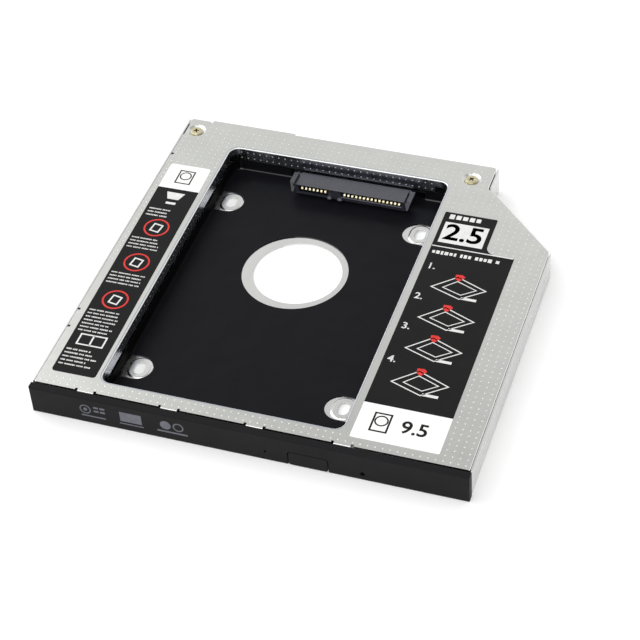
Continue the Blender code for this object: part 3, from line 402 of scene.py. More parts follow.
def plan_face(name: str, corners: Sequence[Point], radii: Sequence[float], z: float,
              segments: int = 6) -> bpy.types.Object:
    """Makes one flat face with rounded corners: a plane, cut along each side, trimmed and bevelled.

    Args:
        name: The piece's name.
        corners: Counter-clockwise corners in plan.
        radii: Radius of each corner.
        z: Height of the face.
        segments: Segments round each corner.

    Returns:
        The face, which points up.
    """
    xs = [x for x, _ in corners]
    ys = [y for _, y in corners]
    low = place(min(xs), min(ys), z)
    high = place(max(xs), max(ys), z)
    rest()
    bpy.ops.mesh.primitive_plane_add(size=1.0, location=(low + high) / 2)
    bpy.context.object.scale = (high.x - low.x, high.y - low.y, 1.0)
    piece = settle(name)
    bpy.ops.object.mode_set(mode="EDIT")
    for index, (x, y) in enumerate(corners):
        before_x, before_y = corners[index - 1]
        along = Vector((x - before_x, y - before_y, 0.0)).normalized()
        on_side = abs(along.x) < 1e-6 and x in (min(xs), max(xs))
        on_end = abs(along.y) < 1e-6 and y in (min(ys), max(ys))
        if not on_side and not on_end:
            bpy.ops.mesh.select_all(action="SELECT")
            bpy.ops.mesh.bisect(plane_co=place(x, y, z), plane_no=(-along.y, along.x, 0.0), threshold=1e-7)
    remove(piece, "FACE", lambda middle, way: not inside(middle, corners))
    bpy.ops.mesh.select_all(action="SELECT")
    bpy.ops.mesh.dissolve_limited(angle_limit=math.radians(1.0))
    for index, (x, y) in enumerate(corners):
        if radii[index] <= 0.0:
            continue
        here = Vector((x, y))
        come = (here - Vector(corners[index - 1])).normalized()
        leave = (Vector(corners[(index + 1) % len(corners)]) - here).normalized()
        turn = come.angle(leave)
        choose(piece, "VERT", lambda middle, way: (middle.xy - here).length < NEAR)
        bpy.ops.mesh.bevel(offset=radii[index] * math.tan(turn / 2) * MM, offset_type="OFFSET",
                           segments=segments, profile=0.5, affect="VERTICES")
    bpy.ops.object.mode_set(mode="OBJECT")
    return piece


def pull(piece: bpy.types.Object, z: float, distance: float) -> None:
    """Extrudes a flat outline into a closed solid with outward faces.

    Args:
        piece: The face from plan_face.
        z: Height of the face.
        distance: How far its copy moves up, or down if negative.
    """
    choose(piece, "FACE", level(z))
    bpy.ops.mesh.extrude_region_move(TRANSFORM_OT_translate={"value": (0.0, 0.0, distance * MM)})
    bpy.ops.mesh.select_all(action="SELECT")
    bpy.ops.mesh.normals_make_consistent(inside=False)
    bpy.ops.object.mode_set(mode="OBJECT")


def fold(piece: bpy.types.Object, z: float, radius: float, up: bool = True, convex: bool = True,
         steps: int = 5) -> float:
    """Rounds the rim of a flat face by insetting it in steps, as a press brake bends a sheet.

    Args:
        piece: The solid whose face is inset.
        z: Height of the face.
        radius: Bend radius in millimetres.
        up: Whether the face points up.
        convex: True for an outer bend that starts upright, False for one that starts flat and turns down.
        steps: Number of steps round the bend.

    Returns:
        The face's new height.
    """
    outward = 1.0 if convex else -1.0
    height = z
    for step in range(steps):
        first = math.pi / 2 * step / steps
        last = math.pi / 2 * (step + 1) / steps
        across = radius * (math.cos(first) - math.cos(last))
        rise = radius * (math.sin(last) - math.sin(first))
        if not convex:
            across, rise = rise, across
        choose_widest(piece, height, up)
        bpy.ops.mesh.inset(thickness=across * MM, depth=rise * MM * outward, use_boundary=True)
        height += rise * outward * (1.0 if up else -1.0)
    bpy.ops.object.mode_set(mode="OBJECT")
    return height


def shift(piece: bpy.types.Object, matrix: Matrix) -> None:
    """Applies a transform to a piece's mesh, so that its object stays at the origin."""
    piece.data.transform(matrix)


# ------------------------------------------------------------------ finishes


def linear(code: str) -> tuple[float, float, float, float]:
    """Turns an sRGB hex colour into Blender's linear colour.

    Args:
        code: Six hex digits.

    Returns:
        Red, green, blue and alpha.
    """
    parts = [int(code[start:start + 2], 16) / 255.0 for start in (0, 2, 4)]
    straight = [part / 12.92 if part <= 0.04045 else ((part + 0.055) / 1.055) ** 2.4 for part in parts]
    return straight[0], straight[1], straight[2], 1.0


def add_node(tree: bpy.types.NodeTree, kind: str, settings: dict | None = None,
             inputs: dict | None = None) -> bpy.types.Node:
    """Adds a node with its settings, values and links.

    Args:
        tree: The material's or world's node tree.
        kind: The node's type.
        settings: Attribute values by name.
        inputs: Values or output sockets by input name or number.

    Returns:
        The new node.
    """
    node = tree.nodes.new(kind)
    for key, value in (settings or {}).items():
        setattr(node, key, value)
    for key, value in (inputs or {}).items():
        if isinstance(value, bpy.types.NodeSocket):
            tree.links.new(value, node.inputs[key])
        else:
            node.inputs[key].default_value = value
    return node


@dataclass(frozen=True)
class Finish:
    """A surface: its colour, gloss, unevenness of colour and gloss, and fine relief.

    The colour drifts between two close values in patches, the gloss varies in the same way at another size,
    and a fine noise gives the relief. Sizes are in millimetres.
    """

    name: str
    colour: str
    second: str
    roughness: tuple[float, float]
    metallic: float = 0.0
    specular: float = 0.5
    patch: float = 12.0
    gloss_patch: float = 5.0
    grain: float = 0.3
    relief: float = 0.0
    stretch: tuple[float, float, float] = (1.0, 1.0, 1.0)
    wave: float = 0.0
    wave_relief: float = 0.0

    def material(self) -> bpy.types.Material:
        """Builds the node material.

        Returns:
            The material.
        """
        material = bpy.data.materials.get(self.name)
        if material:
            return material
        material = bpy.data.materials.new(self.name)
        material.use_nodes = True
        tree = material.node_tree
        shader = tree.nodes["Principled BSDF"]
        shader.inputs["Metallic"].default_value = self.metallic
        shader.inputs["Specular IOR Level"].default_value = self.specular
        where = add_node(tree, "ShaderNodeTexCoord").outputs["Object"]
        spread = add_node(tree, "ShaderNodeMapping", inputs={"Vector": where, "Scale": self.stretch})
        drift = add_node(tree, "ShaderNodeTexNoise",
                         inputs={"Vector": spread.outputs[0], "Scale": 1.0 / (self.patch * MM), "Detail": 3.0})
        tint = add_node(tree, "ShaderNodeValToRGB", inputs={"Fac": drift.outputs[0]})
        tint.color_ramp.elements[0].position = 0.35
        tint.color_ramp.elements[0].color = linear(self.colour)
        tint.color_ramp.elements[1].position = 0.65
        tint.color_ramp.elements[1].color = linear(self.second)
        tree.links.new(tint.outputs[0], shader.inputs["Base Color"])
        haze = add_node(tree, "ShaderNodeTexNoise",
                        inputs={"Vector": spread.outputs[0], "Scale": 1.0 / (self.gloss_patch * MM),
                                "Detail": 2.0})
        gloss = add_node(tree, "ShaderNodeMapRange",
                         inputs={"Value": haze.outputs[0], "From Min": 0.3, "From Max": 0.7,
                                 "To Min": self.roughness[0], "To Max": self.roughness[1]})
        tree.links.new(gloss.outputs[0], shader.inputs["Roughness"])
        normal = None
        if self.relief > 0.0:
            fine = add_node(tree, "ShaderNodeTexNoise",
                            inputs={"Vector": spread.outputs[0], "Scale": 1.0 / (self.grain * MM),
                                    "Detail": 2.0})
            normal = add_node(tree, "ShaderNodeBump",
                              inputs={"Height": fine.outputs[0], "Distance": self.relief * MM}).outputs[0]
        if self.wave_relief > 0.0:
            swell = add_node(tree, "ShaderNodeTexNoise",
                             inputs={"Vector": where, "Scale": 1.0 / (self.wave * MM), "Detail": 1.0})
            bump = add_node(tree, "ShaderNodeBump",
                            inputs={"Height": swell.outputs[0], "Distance": self.wave_relief * MM})
            if normal:
                tree.links.new(normal, bump.inputs["Normal"])
            normal = bump.outputs[0]
        if normal:
            tree.links.new(normal, shader.inputs["Normal"])
        return material


# Aluminium sheet for the cover, rolled and bead-blasted: satin, pale, with a faint cloudiness
COVER_METAL = Finish("satin_aluminium_cover", "D6D7D3", "DADBD7", (0.22, 0.27), metallic=1.0, patch=9.0,
                     gloss_patch=2.5, grain=0.5, relief=0.0015)
# The embossed dots are painted lighter than the sheet: a painted highlight where their domes catch the light
HIGHLIGHTED_DOT_METAL = Finish("embossed_aluminium_dot_painted_highlight", "E4E5E2", "E8E9E6", (0.30, 0.36), metallic=1.0, patch=2.0)
# Towards the rear the dots get a dimmer painted highlight
DIMMER_HIGHLIGHT_DOT_METAL = Finish("rear_aluminium_dot_dimmer_painted_highlight", "DEDFDB", "E2E3DF", (0.28, 0.34), metallic=1.0, patch=2.0)
# The outside of a fold is painted brighter than the sheet: a painted highlight along the bend
BEND_PAINTED_HIGHLIGHT = Finish("aluminium_bend_painted_highlight", "F2F2F0", "F6F6F4", (0.34, 0.42), metallic=1.0, patch=7.0)
# Where the die folds the sheet down it is burnished, so its low roughness mirrors the dark bay; its darker, bluish
# colour is a painted reflection of the bay
FLANGE_METAL_PAINTED_REFLECTION = Finish("aluminium_flange_painted_reflection", "BFC3CC", "C8CBD2", (0.20, 0.27), metallic=1.0,
                      patch=6.0, gloss_patch=3.0, wave=12.0, wave_relief=0.04)
# The same sheet, plain and a little darker, for the tray: drawn lines run from front to back
TRAY_METAL = Finish("rolled_aluminium_tray", "DFDFDE", "E5E5E3", (0.20, 0.27), metallic=1.0, patch=7.0,
                    gloss_patch=2.0, grain=0.15, relief=0.004, stretch=(1.0, 0.25, 1.0))
# The drawn side wall is painted darker than the rolled floor, as painted shade on the right wall that faces away from
# the lamps, and is a little rougher
TRAY_SIDE_PAINTED_SHADE = Finish("aluminium_wall_painted_shade", "CDCDCC", "D4D4D2", (0.24, 0.32), metallic=1.0, patch=7.0,
                   gloss_patch=2.0, grain=0.15, relief=0.004, stretch=(1.0, 0.25, 1.0))
# Black polyester film, calendered: a soft gloss on the flat and slow waves where it is folded up
FILM_BLACK = Finish("black_polyester_film", "121216", "141419", (0.30, 0.38), specular=0.09, patch=14.0,
                    grain=0.25, relief=0.010, wave=9.0, wave_relief=0.25)
# The film's left wall lies in the shade of the cover, and looks almost black
FILM_WALL = Finish("shaded_polyester_film", "08080A", "0A0A0C", (0.50, 0.60), specular=0.03, patch=14.0)
# The film's folds and walls are stretched glossy, so they mirror what is beside them
FILM_FOLD = Finish("creased_polyester_film", "0E0E12", "121217", (0.16, 0.24), specular=0.6, patch=9.0,
                   wave=8.0, wave_relief=0.12)
# Black moulded ABS with a spark-eroded grain for the bezel: matt, with a warm grey cast
BEZEL_BLACK = Finish("grained_abs_bezel", "131214", "161517", (0.46, 0.56), specular=0.13, patch=10.0,
                     grain=0.22, relief=0.012)
# The button's ABS comes from another shot, so it is a touch smoother
BUTTON_BLACK = Finish("grained_abs_button", "131214", "151416", (0.42, 0.50), specular=0.13, patch=8.0,
                      grain=0.22, relief=0.010)
# Glass-filled nylon of the drive connector: dark blue-grey, with a soft sheen on the top
HOUSING_NYLON = Finish("glass_filled_nylon", "2F3039", "373842", (0.22, 0.32), specular=0.95, patch=5.0,
                       grain=0.3, relief=0.006)
# Gold flash over nickel on the contacts: pale yellow and bright
CONTACT_GOLD = Finish("gold_flashed_contact", "F0E4BA", "F4ECCB", (0.22, 0.30), metallic=1.0, patch=1.0,
                      gloss_patch=0.8)
# Matt tin on the host plug's contacts, grey after soldering
CONTACT_TIN = Finish("matt_tin_contact", "77756C", "8A877C", (0.40, 0.50), metallic=1.0, patch=1.0,
                     gloss_patch=0.8)
# Yellow zinc plating on the steel screws: brass-like, a little uneven
SCREW_YELLOW = Finish("yellow_zinc_screw", "CFC49C", "DCD4B8", (0.28, 0.40), metallic=1.0, patch=1.2,
                      gloss_patch=0.8, grain=0.15, relief=0.006)
# Painted shade in the driver recess of the screws: a dark colour where the recess lies in shade
RECESS_PAINTED_SHADE = Finish("screw_recess_painted_shade", "3C3420", "4A4029", (0.5, 0.6), patch=0.5)
# Turned brass with nickel plating on the posts: grey with a warm cast
POST_NICKEL = Finish("nickel_plated_post", "B5AE9E", "BDB6A8", (0.26, 0.36), metallic=1.0, patch=1.5,
                     gloss_patch=0.8)
# Black solder mask over glass-epoxy board: half gloss, the weave just felt
BOARD_BLACK = Finish("black_solder_mask", "15171A", "1A1D20", (0.30, 0.40), patch=3.0, grain=0.5,
                     relief=0.010)
# Fired ceramic of the chip capacitors: dull tan
CAPACITOR_TAN = Finish("fired_ceramic_chip", "8A6A4C", "93734F", (0.45, 0.55), patch=0.8, grain=0.1,
                       relief=0.004)
# Printed polyester sticker: black ink under a clear half-gloss face
LABEL_BLACK = Finish("black_sticker_face", "161617", "19191A", (0.34, 0.42), specular=0.12, patch=9.0,
                     grain=0.2, relief=0.006)
# White ink and unprinted sticker face
LABEL_WHITE = Finish("white_sticker_face", "F1F2EF", "F4F4F2", (0.38, 0.46), specular=0.3, patch=6.0)
# Fine white print, which the black face shows through a little
PRINT_GREY = Finish("screen_print_white", "DADAD8", "E4E4E2", (0.45, 0.55), specular=0.3, patch=1.5)
# Red ink
PRINT_RED = Finish("screen_print_red", "D02C28", "DA3A34", (0.45, 0.55), specular=0.3, patch=2.0)
# Pale grey pad print on the bezel
PRINT_BEZEL = Finish("pad_print_grey", "606169", "6A6B74", (0.5, 0.6), specular=0.3, patch=1.0)


class Body(Enum):
    """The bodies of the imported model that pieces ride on."""

    CADDY = "caddy"
    BUTTON = "button"


def dress(piece: bpy.types.Object, finish: Finish) -> None:
    """Gives a piece one finish all over.

    Args:
        piece: The object.
        finish: Its surface.
    """
    piece.data.materials.clear()
    piece.data.materials.append(finish.material())


def paint(piece: bpy.types.Object, finish: Finish, test: Test) -> None:
    """Gives the faces that pass a test a finish of their own.

    Args:
        piece: The dressed object.
        finish: The faces' surface.
        test: As for choose.
    """
    piece.data.materials.append(finish.material())
    choose(piece, "FACE", test)
    piece.active_material_index = len(piece.data.materials) - 1
    bpy.ops.object.material_slot_assign()
    bpy.ops.object.mode_set(mode="OBJECT")


def put_on(piece: bpy.types.Object, finish: Finish | None, slot: str, *nodes: str,
           body: Body = Body.CADDY) -> None:
    """Finishes a piece and lets it ride on its body in place of its CAD nodes.

    Args:
        piece: The finished object.
        finish: Its surface, or None where it has its materials already.
        slot: The record's material slot. It is not used.
        nodes: The CAD nodes that it stands for.
        body: The body that it rides on.
    """
    if finish:
        dress(piece, finish)
    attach(piece, body.value)
    if nodes:
        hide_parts(*nodes)
    LOG.info("%s: %d faces", piece.name, len(piece.data.polygons))


# -------------------------------------------------------------- sub-assemblies


@dataclass
class Cover:
    """The embossed sheet-metal cover with its window, folded flanges, dished screw seats and front reliefs."""

    top: float = 9.5
    sheet: float = 0.33
    side_x: float = 63.4
    depth: float = 124.5
    skirt: float = 2.2
    bend: float = 0.35
    slant_start: float = 90.15
    kink: tuple[Point, Point] = ((40.75, 112.6), (38.55, 114.0))
    corner_radii: tuple[float, ...] = (1.0, 1.0, 1.0, 1.0, 0.5, 1.0, 1.0)
    through: Point = (4.0, 12.0)
    overlap: float = 0.3
    window_x: Point = (-45.5, 26.2)
    window_y: Point = (5.4, 113.7)
    window_radius: float = 3.0
    window_bend: float = 0.42
    window_lead: float = 0.25
    flange_low: float = 5.8
    flap_low: float = 4.9
    corner_low: float = 7.0
    corner_length: float = 4.8
    tongue_width: float = 4.8
    tongue_low: float = 5.0
    relief_width: float = 0.8
    relief_depth: float = 1.0
    side_reliefs: tuple[float, float, float] = (23.8, 31.2, 105.8)
    side_relief_depth: float = 0.9
    edge_setback: float = 0.4
    rear_lip: Point = (-56.3, -28.0)
    rear_lip_depth: float = 0.4
    notch: Point = (0.8, 1.6)
    seat_radius: float = 3.0
    seat_cut: Point = (-70.0, -62.95)
    seat_cut_half: float = 2.7
    shank_cut: Point = (6.0, 12.0)
    seat_pad: Point = (8.4, 9.3)
    dish: tuple[Point, Point] = ((2.2, 2.95), (8.93, 9.46))
    dish_rim: tuple[Point, Point] = ((2.94, 3.5), (9.455, 9.68))
    shank_radius: float = 1.0
    dot_start: Point = (1.5, 1.75)
    dot_pitch: float = 2.1
    dot_counts: tuple[int, int] = (60, 59)
    dot_radius: float = 0.27
    dot_height: float = 0.055
    dot_sink: float = 0.004
    clear_of_window: float = 1.4
    clear_of_edge: Point = (1.3, 1.2)
    clear_of_seat: float = 4.0
    label_areas: tuple[tuple[Point, ...], ...] = (
        ((-62.0, 4.9), (-46.0, 4.9), (-47.3, 101.9), (-61.8, 101.9)),
        ((28.1, 2.9), (54.8, 2.9), (54.8, 85.2), (45.8, 85.2), (45.8, 100.9), (28.1, 100.9)))
    flange_dot_height: float = 0.095
    flange_dots_at: Point = (7.85, 5.75)
    flange_ends: Point = (4.0, 3.0)
    dimmer_highlight_from: float = 100.0

    def corners(self) -> list[Point]:
        """Gives the plan of the cover.

        Returns:
            Counter-clockwise corners.
        """
        side = self.side_x
        return [(-side, 0.0), (side, 0.0), (side, self.slant_start), self.kink[0], self.kink[1],
                (self.kink[1][0], self.depth), (-side, self.depth)]

    def window(self, margin: float) -> tuple[Point, Point]:
        """Gives the window's ranges, grown by a margin.

        Args:
            margin: How far they reach beyond the window.

        Returns:
            Its range across and its range from front to back.
        """
        return ((self.window_x[0] - margin, self.window_x[1] + margin),
                (self.window_y[0] - margin, self.window_y[1] + margin))

    def window_face(self, name: str, z: float) -> bpy.types.Object:
        """Makes a face as large as the window before its edge is bent down.

        Args:
            name: The piece's name.
            z: Height of the face.

        Returns:
            The face.
        """
        margin = self.window_bend + self.window_lead
        return plan_face(name, oblong(*self.window(margin)), [self.window_radius + margin] * 4, z, 10)

    def plate(self) -> bpy.types.Object:
        """Folds the plate and its skirts, and opens the window.

        Returns:
            The closed plate.
        """
        low = self.top - self.skirt
        piece = plan_face("cover_plate", self.corners(), self.corner_radii, low, 4)
        rise = self.skirt - self.bend
        pull(piece, low, rise)
        fold(piece, low + rise, self.bend)
        choose(piece, "FACE", level(self.top))
        bpy.ops.mesh.inset(thickness=FLAT_MARGIN * MM, depth=0.0)
        remove(piece, "FACE", level(low, -1.0))
        thicken(piece, self.sheet)
        tool = self.window_face("window_tool", self.top - 3.0)
        pull(tool, self.top - 3.0, 6.0)
        carve(piece, tool)
        return piece

    def flange(self) -> bpy.types.Object:
        """Bends the window's edge down and trims the flange that hangs from it.

        Returns:
            The closed flange ring.
        """
        ring = self.window_face("window_flange", self.top)
        choose(ring, "FACE", lambda middle, way: True)
        bpy.ops.mesh.inset(thickness=self.window_lead * MM, depth=0.0, use_boundary=True)
        height = fold(ring, self.top, self.window_bend, convex=False)
        choose_widest(ring, height)
        bpy.ops.mesh.extrude_region_move(
            TRANSFORM_OT_translate={"value": (0.0, 0.0, (self.flap_low - height) * MM)})
        bpy.ops.mesh.delete(type="FACE")
        thicken(ring, self.sheet)
        (left, right), (front, rear) = self.window(self.window_bend + self.window_lead + 1.0)
        (inner_left, inner_right), (near, far) = self.window(-self.corner_length)
        cuts = [((left, right), (front, far), self.flange_low)]
        cuts += [(x, y, self.corner_low) for y in ((front, near), (far, rear))
                 for x in ((left, inner_left), (inner_right, right))]
        carve(ring, *[block("trim_tool", x, y, (self.flap_low - 2.0, high)) for x, y, high in cuts])
        return ring

    def trim(self, piece: bpy.types.Object) -> None:
        """Cuts the front skirt away between the tongues, and the reliefs, the rear lip and its notch.

        Args:
            piece: The plate.
        """
        reach = (self.tongue_width + self.relief_width) / 2
        half = self.relief_width / 2
        low, high = self.top - self.skirt - 1.0, self.top + CLEAR
        starts = [-self.side_x - CLEAR] + [x + reach for x in TONGUES]
        ends = [x - reach for x in TONGUES] + [self.side_x + CLEAR]
        between = list(zip(starts, ends))
        beside = [x + side for x in TONGUES for side in (-reach, reach)]
        tools = [block("skirt_tool", x, (-CLEAR, self.sheet + self.overlap), (low, self.top - self.bend))
                 for x in between]
        tools += [block("front_edge_tool", x, (-CLEAR, self.edge_setback), (low, high)) for x in between]
        tools += [block("relief_tool", (x - half, x + half), (-CLEAR, self.relief_depth), (low, high))
                  for x in beside]
        side = (-self.side_x - CLEAR, -self.side_x + self.side_relief_depth)
        tools += [block("side_relief_tool", side, (y - half, y + half), (low, high)) for y in self.side_reliefs]
        edge = self.depth - self.bend - self.overlap
        under = self.top - self.sheet
        tools.append(block("rear_tool", self.rear_lip, (edge, self.depth + CLEAR), (low, under)))
        carve(piece, *tools)
        wide = self.tongue_width / 2 - 0.1
        tongue_z = (self.tongue_low, self.top - self.bend - self.overlap)
        hung = [block("tongue", (x - wide, x + wide), (0.1, 0.4), tongue_z) for x in TONGUES]
        lip = block("rear_lip", self.rear_lip, (edge, self.depth + self.rear_lip_depth), (under, self.top))
        carve(piece, lip, *hung, operation="UNION")
        x, (half, reach) = self.rear_lip[0], self.notch
        notch = plan_face("notch_tool", [(x, self.depth - reach), (x + half, self.depth + reach),
                                         (x - half, self.depth + reach)], [0.0] * 3, low)
        pull(notch, low, 8.0)
        carve(piece, notch)

    def seats(self, piece: bpy.types.Object) -> None:
        """Presses a dished seat for each screw. The left one runs out over the cover's edge.

        Args:
            piece: The plate.
        """
        (beyond, edge), half = self.seat_cut, self.seat_cut_half
        for x, y in SCREWS:
            pad = drum("seat_pad", (x, y), (self.seat_radius, self.seat_radius), self.seat_pad)
            if x < 0.0:
                carve(piece, block("seat_edge_tool", self.seat_cut, (y - half, y + half), self.through))
                carve(pad, block("pad_tool", (beyond, edge + 0.05), (y - CLEAR, y + CLEAR), self.through))
            carve(piece, pad, operation="UNION")
            carve(piece, drum("dish_tool", (x, y), *self.dish), drum("dish_rim_tool", (x, y), *self.dish_rim),
                  drum("shank_tool", (x, y), (self.shank_radius, self.shank_radius), self.shank_cut, 24))

    def dome(self, name: str, segments: int, rings: int, height: float) -> bpy.types.Object:
        """Makes one embossed dome at the origin, closed underneath.

        Args:
            name: The piece's name.
            segments: Faces round it.
            rings: Rings of the ball that it is cut from.
            height: Height of the dome.

        Returns:
            The dome.
        """
        rest()
        bpy.ops.mesh.primitive_uv_sphere_add(segments=segments, ring_count=rings, radius=self.dot_radius * MM)
        ball = settle(name)
        remove(ball, "VERT", lambda middle, way: middle.z < -NEAR)
        choose(ball, "EDGE", level(0.0))
        bpy.ops.mesh.edge_face_add()
        bpy.ops.mesh.select_all(action="SELECT")
        bpy.ops.mesh.normals_make_consistent(inside=False)
        bpy.ops.object.mode_set(mode="OBJECT")
        shift(ball, Matrix.Diagonal((1.0, 1.0, height / self.dot_radius, 1.0)))
        return ball

    def dots(self) -> bpy.types.Object:
        """Embosses the grid of small domes, left out under the labels and round the seats.

        Returns:
            All the domes on the plate.
        """
        pitch = self.dot_pitch
        dome = self.dome("cover_dots", 10, 6, self.dot_height)
        first = Vector((-self.side_x + self.dot_start[0], self.dot_start[1]))
        shift(dome, Matrix.Translation(place(first.x, first.y, self.top - self.dot_sink)))
        repeat(dome, self.dot_counts[0], (pitch, 0.0, 0.0))
        repeat(dome, self.dot_counts[1], (0.0, pitch, 0.0))
        bare = (oblong(*self.window(self.clear_of_window)), *self.label_areas)
        across, deep = self.clear_of_edge

        def misplaced(middle: Vector, way: Vector) -> bool:
            """Tells whether the dome of this vertex stands where the cover has none.

            Args:
                middle: The vertex.
                way: Its normal, which doesn't count.

            Returns:
                True if it is over an edge, in the window, under a label or on a seat.
            """
            centre = Vector((first.x + round((middle.x - first.x) / pitch) * pitch,
                             first.y + round((middle.y - first.y) / pitch) * pitch))
            around = [centre + Vector(step) for step in ((across, 0.0), (-across, 0.0), (0.0, deep), (0.0, -deep))]
            if not all(inside(point, self.corners()) for point in around):
                return True
            if any(inside(centre, area) for area in bare):
                return True
            return any((centre - Vector(screw)).length < self.clear_of_seat for screw in SCREWS)

        remove(dome, "VERT", misplaced)
        bpy.ops.object.mode_set(mode="OBJECT")
        return dome

    def flange_dots(self) -> list[bpy.types.Object]:
        """Sets the rows of domes on the window's flanges, where the embossed sheet is folded down.

        Returns:
            One object for each flange.
        """
        (left, right), (front, rear) = self.window_x, self.window_y
        high, low = self.flange_dots_at
        end, rear_end = self.flange_ends
        step = self.dot_pitch
        rows = (("left", -90.0, (left, front + end), (0.0, step, 0.0), rear - front - 2 * end),
                ("right", 90.0, (right, front + end), (0.0, step, 0.0), rear - front - 2 * end),
                ("rear", 180.0, (left + rear_end, rear), (step, 0.0, 0.0), right - left - 2 * rear_end),
                ("front", 0.0, (left + end, front), (step, 0.0, 0.0), right - left - 2 * end))
        made = []
        for name, turn, (x, y), along, length in rows:
            at_rear = name == "rear"
            start = high + 0.02 if at_rear else high
            dome = self.dome(f"flange_dots_{name}", 8, 4, self.flange_dot_height if at_rear else self.dot_height)
            shift(dome, Matrix.Rotation(math.radians(-90.0), 4, "X"))
            shift(dome, Matrix.Rotation(math.radians(turn), 4, "Z"))
            shift(dome, Matrix.Translation(place(x, y, start)))
            repeat(dome, int(length / step), along)
            if at_rear:
                repeat(dome, 2, (0.0, 0.0, low - start))
            made.append(dome)
        return made

    def build(self) -> None:
        """Makes the cover and lets it stand for its CAD node."""
        plate = self.plate()
        self.trim(plate)
        self.seats(plate)
        ring = self.flange()
        for part in (plate, ring):
            smooth(part)
        dress(plate, COVER_METAL)
        # Painted highlight on the bend round the plate's edge
        paint(plate, BEND_PAINTED_HIGHLIGHT, lambda middle, way: 0.2 < way.z < 0.98 and middle.z > self.top - 0.3)
        # The flange's darker, bluish colour is a painted reflection of the dark bay
        dress(ring, FLANGE_METAL_PAINTED_REFLECTION)
        # Painted highlight on the window's bend
        paint(ring, BEND_PAINTED_HIGHLIGHT, lambda middle, way: 0.25 < way.z < 0.98)
        dots = [self.dots(), *self.flange_dots()]
        for part in dots:
            smooth(part)
            # The domes' lighter colour is a painted highlight
            dress(part, HIGHLIGHTED_DOT_METAL)
        # Behind this line the dots' painted highlight is dimmer
        paint(dots[0], DIMMER_HIGHLIGHT_DOT_METAL, lambda middle, way: middle.y > self.dimmer_highlight_from)
        put_on(join("caddy_cover", [plate, ring, *dots]), None, "cover_metal", "top_cover")


